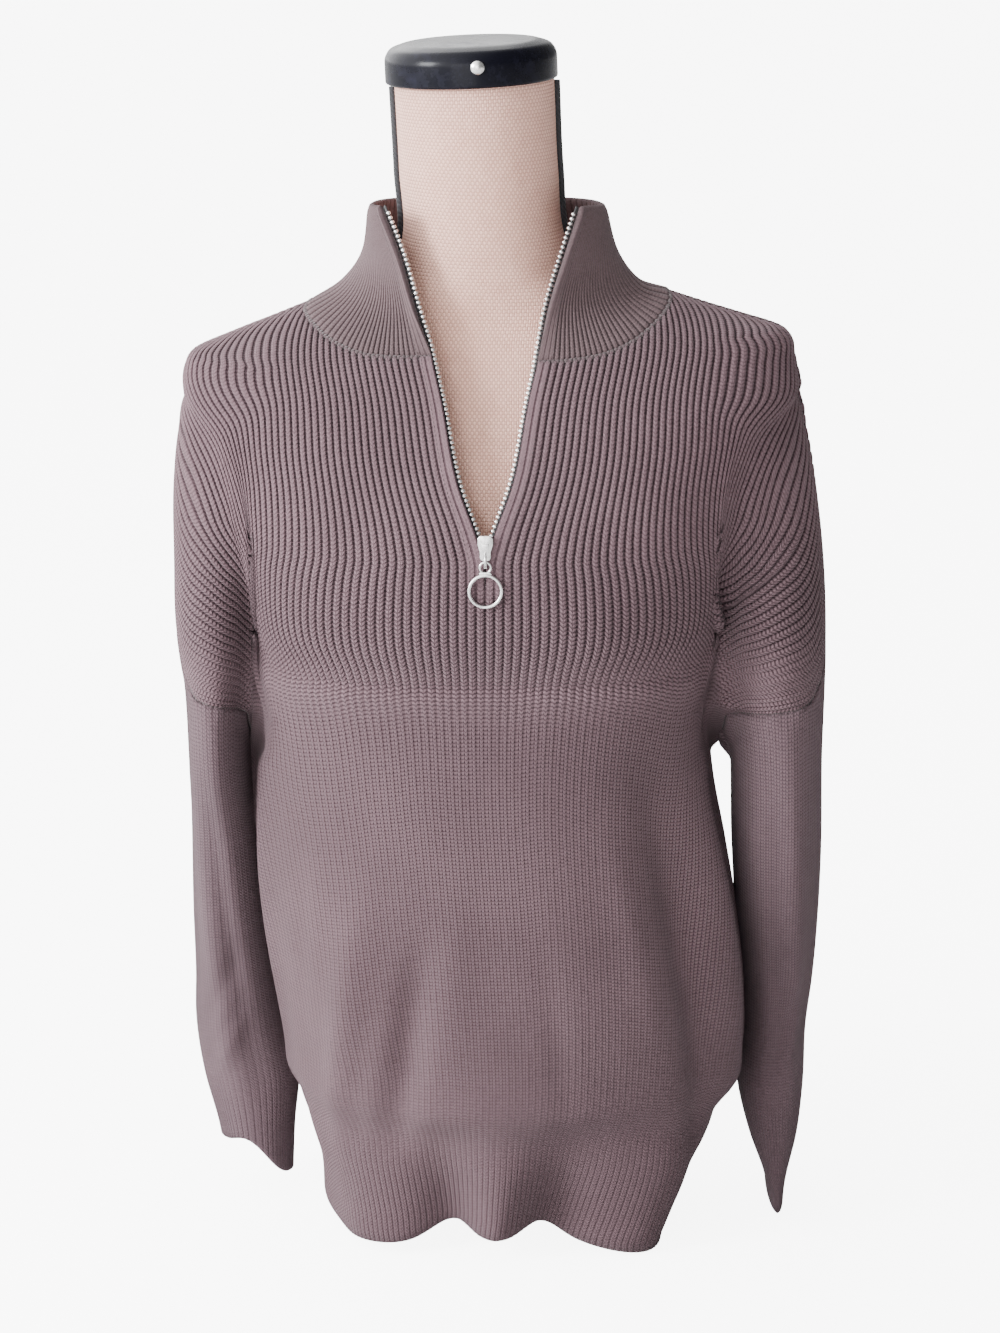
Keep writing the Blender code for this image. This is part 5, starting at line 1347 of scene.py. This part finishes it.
tape_paint = Paint("zip_tape_weave", 0.85, Sheen_Weight=0.2)
tape_place = tape_paint.object_place()
twill = tape_paint.add("TexWave", {"Vector": tape_place, "Scale": 260.0, "Distortion": 0.6},
                       wave_type="BANDS", bands_direction="DIAGONAL").outputs["Fac"]
tape_material = tape_paint.finish(
    tape_paint.mix(twill, (0.010, 0.010, 0.011, 1), (0.035, 0.034, 0.036, 1)),
    tape_paint.bump(twill, 0.0002))


def metal_material(name, bright, dull, roughness):
    """Plated metal with faint wear and a slightly uneven gloss."""
    paint = Paint(name, roughness, Metallic=1.0)
    place = paint.object_place()
    wear = paint.ramp(paint.noise(place, 380, 4, 0.6), 0.45, 0.70)
    fine = paint.noise(place, 2600, 2)
    return paint.finish(paint.mix(wear, bright, dull), paint.bump(fine, 0.00003),
                        paint.plus(roughness, paint.times(wear, 0.15)))


def ring_faces(rings, sides, closed=False):
    """Faces between rings of points, with the ends filled or joined to each other."""
    faces = [(a * sides + b, a * sides + (b + 1) % sides,
              (a + 1) % rings * sides + (b + 1) % sides, (a + 1) % rings * sides + b)
             for a in range(rings if closed else rings - 1) for b in range(sides)]
    last = sides * (rings - 1)
    return faces if closed else faces + [tuple(range(sides)), tuple(range(last, last + sides))]


nickel = metal_material("bright_nickel", (0.80, 0.79, 0.78, 1), (0.58, 0.57, 0.56, 1), 0.24)
tooth_tree = repeat_tree("tooth_row", 0.55)
tapes, teeth = {}, {}
for side in (LEFT, RIGHT):
    panel_line, panel_out = zip_edges[side]
    collar_line, collar_out = collar_edges[side]
    edge = np.concatenate((panel_line[:-1], collar_line[1:]))
    outward = np.concatenate((panel_out[:-1], collar_out[1:]))
    thickness = np.concatenate((np.full(len(panel_line) - 1, KNIT),
                                np.full(len(collar_line) - 1, COLLAR_THICKNESS)))
    kernel = np.array((1, 2, 3, 2, 1)) / 9
    for line in (edge, outward):
        for axis in range(3):
            line[2:-2, axis] = np.convolve(line[:, axis], kernel, mode="valid")
    thickness[2:-2] = np.convolve(thickness, kernel, mode="valid")
    outward = unit(outward)
    inward = np.cross(np.gradient(edge, axis=0), outward)
    inward *= -side * np.sign(inward[:, :1]) / np.linalg.norm(inward, axis=1, keepdims=True)
    half_gap = np.abs(edge[:, 0])
    shows = (half_gap - np.maximum(half_gap - TAPE_SHOWS, TAPES_APART))[:, None]
    near = (thickness + TAPE_BEHIND)[:, None]
    corners = [edge + inward * reach - outward * depth
               for reach, depth in ((shows, near), (shows, near + TAPE_THICKNESS),
                                    (-TAPE_COVERED, near + TAPE_THICKNESS), (-TAPE_COVERED, near))]
    points = np.stack(corners, axis=1).reshape(-1, 3)
    name = "zip_tape_" + SIDE_NAME[side]
    tapes[side] = closed_mesh(name + "_woven", points, ring_faces(len(edge), 4), tape_material, 30)
    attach(tapes[side], "garment")
    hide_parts(name)
    tooth_line = edge + inward * (shows - 0.0003) - outward * (near + TAPE_THICKNESS / 2)
    shift = TOOTH_PITCH / 2 * (side == RIGHT)
    first = np.linalg.norm(tooth_line[1] - tooth_line[0])
    start = tooth_line[0] + (tooth_line[1] - tooth_line[0]) * shift / first
    teeth[side] = bead_row("zip_teeth_" + SIDE_NAME[side], tooth_tree,
                           np.concatenate(([start], tooth_line[1:-1])), outward[:-1],
                           TOOTH_PITCH, TOOTH_SIZE, nickel)

# ------------------------------------------------------------ slider and ring pull
# A die-cast slider with a crown on its face. The flat eye of the ring pull hangs on
# the crown and swings up and down on it.
PLATE_BACK, PLATE_FRONT = -0.1353, -0.1373
PLATE_LOW, PLATE_HIGH = 0.5062, 0.5290
PLATE_HALF_HIGH = 0.0052     # half width of its upper end
ARCH_RADIUS, ARCH_WIRE = 0.0044, 0.0009
HINGE_Y, HINGE_Z = -0.1382, 0.5124
EYE_OUTER, EYE_HOLE, EYE_HALF = 0.0045, 0.0030, 0.0006       # the eye's radii and half thickness
EYE_SAG = 0.0008             # how far the eye hangs below the crown's wire
RING_RADIUS, RING_WIRE, RING_DROP = 0.0110, 0.0012, 0.0164   # the drop is from eye to ring


def rounded_plate(name, corners, back, front, bevel, material):
    """A plate in the XZ plane with rounded edges."""
    count = len(corners)
    points = [(x, y, z) for y in (back, front) for x, z in corners]
    faces = [tuple(range(count)), tuple(range(2 * count - 1, count - 1, -1))]
    faces += [(k, (k + 1) % count, count + (k + 1) % count, count + k) for k in range(count)]
    plate = closed_mesh(name, points, faces, material)
    shape = bmesh.new()
    shape.from_mesh(plate.data)
    bmesh.ops.bevel(shape, geom=shape.edges[:], offset=bevel, segments=3, profile=0.5,
                    affect="EDGES")
    bmesh.ops.recalc_face_normals(shape, faces=shape.faces)
    shape.to_mesh(plate.data)
    shape.free()
    plate.data.shade_smooth()
    return plate


def tube_points(path, radius, sides):
    """Points and faces of a closed tube round a path in the YZ plane."""
    heading = unit(np.gradient(path, axis=0))
    other = np.cross(heading, (1.0, 0.0, 0.0))
    turns = np.linspace(0, 2 * pi, sides, endpoint=False)
    points = [point + radius * (cos(turn) * np.array((1.0, 0, 0)) + sin(turn) * across)
              for point, across in zip(path, other) for turn in turns]
    return points, ring_faces(len(path), sides)


def torus_points(centre, radius, wide, thick, steps, sides):
    """Points and faces of a ring that lies in the XZ plane."""
    points = []
    for step in range(steps):
        turn = 2 * pi * step / steps
        for side_step in range(sides):
            tilt = 2 * pi * side_step / sides
            out = radius + wide * cos(tilt)
            points.append(np.array(centre) + (out * cos(turn), thick * sin(tilt), out * sin(turn)))
    return points, ring_faces(steps, sides, closed=True)


def joined(name, parts, material):
    """One piece from several pairs of points and faces."""
    points, faces = [], []
    for part_points, part_faces in parts:
        first = len(points)
        points += list(part_points)
        faces += [tuple(first + corner for corner in face) for face in part_faces]
    return closed_mesh(name, points, faces, material)


def taken(plate):
    """The points and faces of a finished plate, which is removed."""
    points = [tuple(vertex.co) for vertex in plate.data.vertices]
    faces = [tuple(face.vertices) for face in plate.data.polygons]
    bpy.data.objects.remove(plate, do_unlink=True)
    return points, faces


def mirrored(half):
    """A whole outline from its right half, given from the bottom to the top."""
    return half + [(-x, z) for x, z in reversed(half)]


def four_corners(half_low, half_high, low, high):
    """Corners of a plate that is as wide, wider or narrower at its top."""
    return [(-half_low, low), (half_low, low), (half_high, high), (-half_high, high)]


PLATE_MIDDLE = (PLATE_LOW + PLATE_HIGH) / 2
half_outline = [(0.0011, PLATE_LOW), (0.0012, 0.5112), (0.0030, 0.5122),
                (0.0037, 0.5136), (0.0037, PLATE_MIDDLE), (PLATE_HALF_HIGH, PLATE_MIDDLE + 0.0050),
                (PLATE_HALF_HIGH, PLATE_HIGH - 0.0020), (0.0036, PLATE_HIGH)]
body_plate = rounded_plate("slider_body", mirrored(half_outline), PLATE_BACK, PLATE_FRONT,
                           0.0004, nickel)
core = rounded_plate("slider_core", four_corners(0.0013, 0.0013, 0.5145, 0.5240),
                     PLATE_BACK + 0.0058, PLATE_BACK - 0.001, 0.0003, nickel)
boss = rounded_plate("slider_boss", four_corners(0.0022, 0.0026, 0.5172, 0.5235),
                     PLATE_FRONT + 0.0005, PLATE_FRONT - 0.0007, 0.0004, nickel)
crown = [(0, PLATE_FRONT + 0.001, HINGE_Z + ARCH_RADIUS)]
crown += [(0, HINGE_Y - ARCH_RADIUS * sin(turn), HINGE_Z + ARCH_RADIUS * cos(turn))
          for turn in np.linspace(0, pi, 25)]
crown.append((0, PLATE_FRONT + 0.001, HINGE_Z - ARCH_RADIUS))
slider = joined("zip_slider_cast", [taken(body_plate), taken(core), taken(boss),
                                    tube_points(crown, ARCH_WIRE, 14)], nickel)
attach(slider, "garment")
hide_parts("zip_slider")

eye_z = HINGE_Z - ARCH_RADIUS - EYE_SAG
half_neck = [(0.0034, eye_z - EYE_HOLE - 0.0001), (0.0042, eye_z - EYE_HOLE - 0.0009),
             (0.0042, eye_z - RING_DROP + RING_RADIUS - 0.0002)]
neck = rounded_plate("pull_neck", mirrored(half_neck), HINGE_Y + EYE_HALF, HINGE_Y - EYE_HALF,
                     0.0003, nickel)
pull = joined("ring_pull", [
    torus_points((0, HINGE_Y, eye_z), (EYE_OUTER + EYE_HOLE) / 2, (EYE_OUTER - EYE_HOLE) / 2,
                 EYE_HALF, 48, 12),
    torus_points((0, HINGE_Y, eye_z - RING_DROP), RING_RADIUS, RING_WIRE, RING_WIRE, 96, 16),
    taken(neck)], nickel)
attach(pull, "pull")
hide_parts("zip_pull")

# ------------------------------------------------------------ dress form
# A limbless torso and neck of foam, covered in coarse burlap. A black cord is piped
# into the side seams of its neck.
NECK_TILT = radians(-2.5)
NECK_TOP = 0.8208
CAP_X = -0.0095
LEAN_START = 0.76        # from here up the neck leans over to its tilted top
FORM = named_table(
    ("z", "x", "half", "front", "back"),
    (0.0980, 0.006, 0.100, 0.076, 0.078),
    (0.1080, 0.006, 0.119, 0.090, 0.092),
    (0.1500, 0.006, 0.128, 0.099, 0.102),
    (0.2300, 0.004, 0.124, 0.094, 0.096),
    (0.3200, 0.000, 0.105, 0.082, 0.080),
    (0.4100, 0.000, 0.121, 0.098, 0.084),
    (0.4800, 0.000, 0.140, 0.116, 0.090),
    (0.5400, 0.000, 0.150, 0.106, 0.094),
    (0.5950, 0.000, 0.158, 0.084, 0.080),
    (0.6250, 0.000, 0.154, 0.068, 0.064),
    (0.6445, 0.000, 0.1487, 0.058, 0.054),
    (0.6645, 0.002, 0.107, 0.053, 0.052),
    (0.6760, 0.002, 0.083, 0.054, 0.053),
    (0.6860, 0.001, 0.067, 0.055, 0.056),
    (0.7100, -0.001, 0.0575, 0.0560, 0.0560),
    (0.7600, -0.0048, 0.0552, 0.0550, 0.0550),
    (0.8208, -0.0078, 0.0552, 0.0545, 0.0545),
)
THREAD = (0.00165, 0.0024)           # width of a burlap thread with the gap beside it
THREAD_START = (400, 4)              # keeps all the threads' numbers above zero
NEARBY = 60                          # two corners of a face are fewer threads apart

def burlap_material():
    """Plain weave of uneven threads: round on top, with painted shade down their sides and in the gaps
    between them.
    """
    paint = Paint("burlap", 0.92, Sheen_Weight=0.12)
    numbers = paint.uv("weave")
    warp_swell, weft_swell = (
        paint.math("ABSOLUTE", paint.math("SINE", paint.times(number, pi))) for number in numbers)
    over = paint.math("ABSOLUTE", paint.math("MODULO", paint.plus(
        *(paint.math("FLOOR", number) for number in numbers)), 2.0))
    warp_top, weft_top = (
        paint.times(paint.math("POWER", swell, 0.6), paint.ramp(other, 0.0, 0.8, 0.35, 1.0))
        for swell, other in ((warp_swell, weft_swell), (weft_swell, warp_swell)))
    weave = paint.blend(over, weft_top, warp_top)
    place = paint.object_place()
    slub = paint.noise(place, 120, 3, 0.6)
    hair = paint.noise(place, 1600, 3, 0.7)
    # The tone paints shade on the weave. Each thread is lighter on its round top and darker down its sides
    # and in the gaps between threads. The cells where the weft lies on top are darker, and slubs vary the
    # tone at random.
    thread_shade_and_slub = paint.plus(paint.ramp(weave, 0.0, 0.75, 0.0, 0.85), paint.times(paint.less(slub, 0.4), 0.6))
    thread_shade_and_slub = paint.times(thread_shade_and_slub, paint.ramp(over, 0.0, 1.0, 0.45, 1.0))
    thread_shade_and_slub = paint.math("MINIMUM", paint.math("MAXIMUM", thread_shade_and_slub, 0.0), 1.0)
    return paint.finish(paint.mix(thread_shade_and_slub, (0.60, 0.27, 0.20, 1), (1.0, 0.64, 0.52, 1)),
                        paint.bump(weave, 0.0010, paint.bump(hair, 0.0002)))


burlap = burlap_material()


def leaning(x, z):
    """How far a point of the neck moves down as the neck leans over."""
    lean = np.clip((z - LEAN_START) / (NECK_TOP - LEAN_START), 0, 1)
    return lean * tan(NECK_TILT) * (x - CAP_X)


FORM_TURNS, FORM_LEVELS = 120, 150
form_z = np.concatenate((np.linspace(FORM["z"][0], FORM["z"][1], 5)[:-1],
                         np.linspace(FORM["z"][1], FORM["z"][-1], FORM_LEVELS - 4)))
form_turn = np.linspace(-pi / 2, 1.5 * pi, FORM_TURNS, endpoint=False)
form_points, form_weave = [], []
climb = 0.0
for level, z in enumerate(form_z):
    size = {key: read(FORM, key, "z", z) for key in ("x", "half", "front", "back")}
    depth = np.where(np.sin(form_turn) > 0, size["back"], size["front"])
    ring = np.stack((size["x"] + size["half"] * np.cos(form_turn), depth * np.sin(form_turn),
                     np.full(FORM_TURNS, z)), axis=1)
    ring[:, 2] -= leaning(ring[:, 0], z)
    around = run(ring)
    around = np.where(form_turn > pi / 2, around - around[-1] - np.linalg.norm(ring[-1] - ring[0]), around)
    if level:
        climb += np.linalg.norm(ring[0] - form_points[-1][0])
    form_points.append(ring)
    form_weave.append(np.stack(
        (around / THREAD[0] + THREAD_START[0],
         np.full(FORM_TURNS, climb / THREAD[1] + THREAD_START[1])), axis=1))
form_points = np.concatenate(form_points)
form_weave = np.concatenate(form_weave)
form = closed_mesh("form_torso_covered", form_points, ring_faces(len(form_z), FORM_TURNS), burlap, 60)
layer = form.data.uv_layers.new(name="weave")
for face in form.data.polygons:
    corners = [form_weave[form.data.loops[loop].vertex_index] for loop in face.loop_indices]
    low = min(corner[0] for corner in corners)
    for loop, corner in zip(face.loop_indices, corners):
        # The back seam, where the numbers start again, is one column of faces.
        across = corner[0] if corner[0] - low < NEARBY else low - 1
        layer.data[loop].uv = (across, corner[1])
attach(form, "garment")
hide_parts("form_torso")

cord_paint = Paint("piping_cord", 0.7, Sheen_Weight=0.15)
cord_place = cord_paint.object_place()
cord_twist = cord_paint.add("TexWave", {"Vector": cord_place, "Scale": 180.0, "Distortion": 1.5},
                            wave_type="BANDS", bands_direction="DIAGONAL").outputs["Fac"]
piping_cord = cord_paint.finish(
    cord_paint.mix(cord_twist, (0.003, 0.003, 0.005, 1), (0.012, 0.011, 0.016, 1)),
    cord_paint.bump(cord_twist, 0.0003))
PIPING_RADIUS, PIPING_PROUD = 0.0029, 0.0011
PIPING_LOW, PIPING_HIGH = 0.6980, 0.8190
PIPING_LEVELS, PIPING_SIDES = 40, 14
for side in (LEFT, RIGHT):
    name = "neck_piping_" + SIDE_NAME[side]
    z = np.linspace(PIPING_LOW, PIPING_HIGH, PIPING_LEVELS)
    x = read(FORM, "x", "z", z) + side * (read(FORM, "half", "z", z) + PIPING_PROUD)
    path = np.stack((x, np.zeros(PIPING_LEVELS), z - leaning(x, z)), axis=1)
    points = [point + PIPING_RADIUS * np.array((cos(turn), sin(turn), 0)) for point in path
              for turn in np.linspace(0, 2 * pi, PIPING_SIDES, endpoint=False)]
    piping = closed_mesh(name + "_cord", points, ring_faces(PIPING_LEVELS, PIPING_SIDES), piping_cord, 60)
    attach(piping, "garment")
    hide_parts(name)


# ------------------------------------------------------------ neck cap and stand
# A lacquered cap closes the neck and is held by a steel rivet. Under the torso a
# steel pole stands on a heavy round base.
def turned(name, profile, steps, material, place, turn=(0, 0, 0), sharp_angle=35):
    """A solid turned about its own axis from (radius, height) points, then placed."""
    points, faces, starts = [], [], []
    for radius, height in profile:
        starts.append(len(points))
        count = steps if radius > 0 else 1
        points += [(radius * cos(2 * pi * k / steps), radius * sin(2 * pi * k / steps), height)
                   for k in range(count)]
    for upper in range(len(profile) - 1):
        a, b = starts[upper], starts[upper + 1]
        for k in range(steps):
            ahead = (k + 1) % steps
            top = (a,) if profile[upper][0] == 0 else (a + k, a + ahead)
            low = (b,) if profile[upper + 1][0] == 0 else (b + ahead, b + k)
            faces.append(top + low)
    piece = closed_mesh(name, points, faces, material, sharp_angle)
    piece.location, piece.rotation_euler = place, turn
    bpy.context.view_layer.update()
    piece.data.transform(piece.matrix_world)
    piece.location, piece.rotation_euler = (0, 0, 0), (0, 0, 0)
    return piece


def rounded_profile(profile, radius, steps=5):
    """A profile with its inner corners rounded."""
    points = [np.array(point, dtype=float) for point in profile]
    smooth = [tuple(points[0])]
    for before, corner, after in zip(points, points[1:], points[2:]):
        reach = min(radius, np.linalg.norm(before - corner) / 2, np.linalg.norm(after - corner) / 2)
        start = corner + (before - corner) / np.linalg.norm(before - corner) * reach
        end = corner + (after - corner) / np.linalg.norm(after - corner) * reach
        for t in np.linspace(0, 1, steps):
            smooth.append(tuple(start * (1 - t) ** 2 + 2 * corner * t * (1 - t) + end * t * t))
    return smooth + [tuple(points[-1])]


def lacquer_material(name, colour, roughness, coat):
    """Black lacquer or paint with faint dust and an uneven gloss."""
    paint = Paint(name, roughness, Coat_Weight=coat, Coat_Roughness=0.08, Specular_IOR_Level=0.12)
    place = paint.object_place()
    dust = paint.ramp(paint.noise(place, 60, 5, 0.65), 0.45, 0.75)
    return paint.finish(paint.mix(dust, colour, tuple(min(3 * part, 1) for part in colour[:3]) + (1,)),
                        paint.bump(paint.noise(place, 900, 2), 0.00004),
                        paint.plus(roughness, paint.times(dust, 0.12)))


lacquer = lacquer_material("black_lacquer", (0.003, 0.003, 0.006, 1), 0.26, 0.03)
paint_black = lacquer_material("satin_black_paint", (0.016, 0.016, 0.018, 1), 0.38, 0.1)
satin_steel = metal_material("satin_steel", (0.36, 0.36, 0.37, 1), (0.26, 0.26, 0.27, 1), 0.34)
cap_profile = ((0, 0.0290), (0.025, 0.0286), (0.046, 0.0272), (0.0560, 0.0240),
               (0.0597, 0.0180), (0.0597, 0.0012), (0.0585, 0), (0, 0))
rivet_profile = ((0, 0.0022), (0.0018, 0.0020), (0.0034, 0.0013), (0.0047, 0.0003),
                 (0.0047, 0), (0, 0))
STAND_Y = 0.030
POLE_RADIUS, POLE_LOW, POLE_HIGH = 0.012, 0.0123, 0.0977
BASE_RADIUS, BASE_HIGH, BASE_ROUND = 0.070, 0.012, 0.003
stand_pieces = (
    ("neck_cap", rounded_profile(cap_profile, 0.0030), 128, lacquer,
     (CAP_X, 0, NECK_TOP + 0.0004), (0, NECK_TILT, 0), "black_lacquer"),
    ("cap_rivet", rounded_profile(rivet_profile, 0.0010, 3), 32, nickel,
     (-0.0052, -0.0602, NECK_TOP + 0.0150), (radians(90), 0, 0), "steel"),
    ("stand_pole", rounded_profile(((0, POLE_HIGH), (POLE_RADIUS, POLE_HIGH), (POLE_RADIUS, POLE_LOW),
                                    (0, POLE_LOW)), 0.0006),
     48, satin_steel, (0, STAND_Y, 0), (0, 0, 0), "steel"),
    ("stand_base", rounded_profile(((0, BASE_HIGH), (BASE_RADIUS - BASE_ROUND, BASE_HIGH),
                                    (BASE_RADIUS, BASE_HIGH - BASE_ROUND), (BASE_RADIUS, 0.001),
                                    (BASE_RADIUS - 0.001, 0), (0, 0)), 0.0010),
     128, paint_black, (0, STAND_Y, 0), (0, 0, 0), "black_paint"),
)
for name, profile, steps, finish, place, turn, slot in stand_pieces:
    piece = turned(name + "_turned", profile, steps, finish, place, turn)
    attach(piece, "garment")
    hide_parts(name)
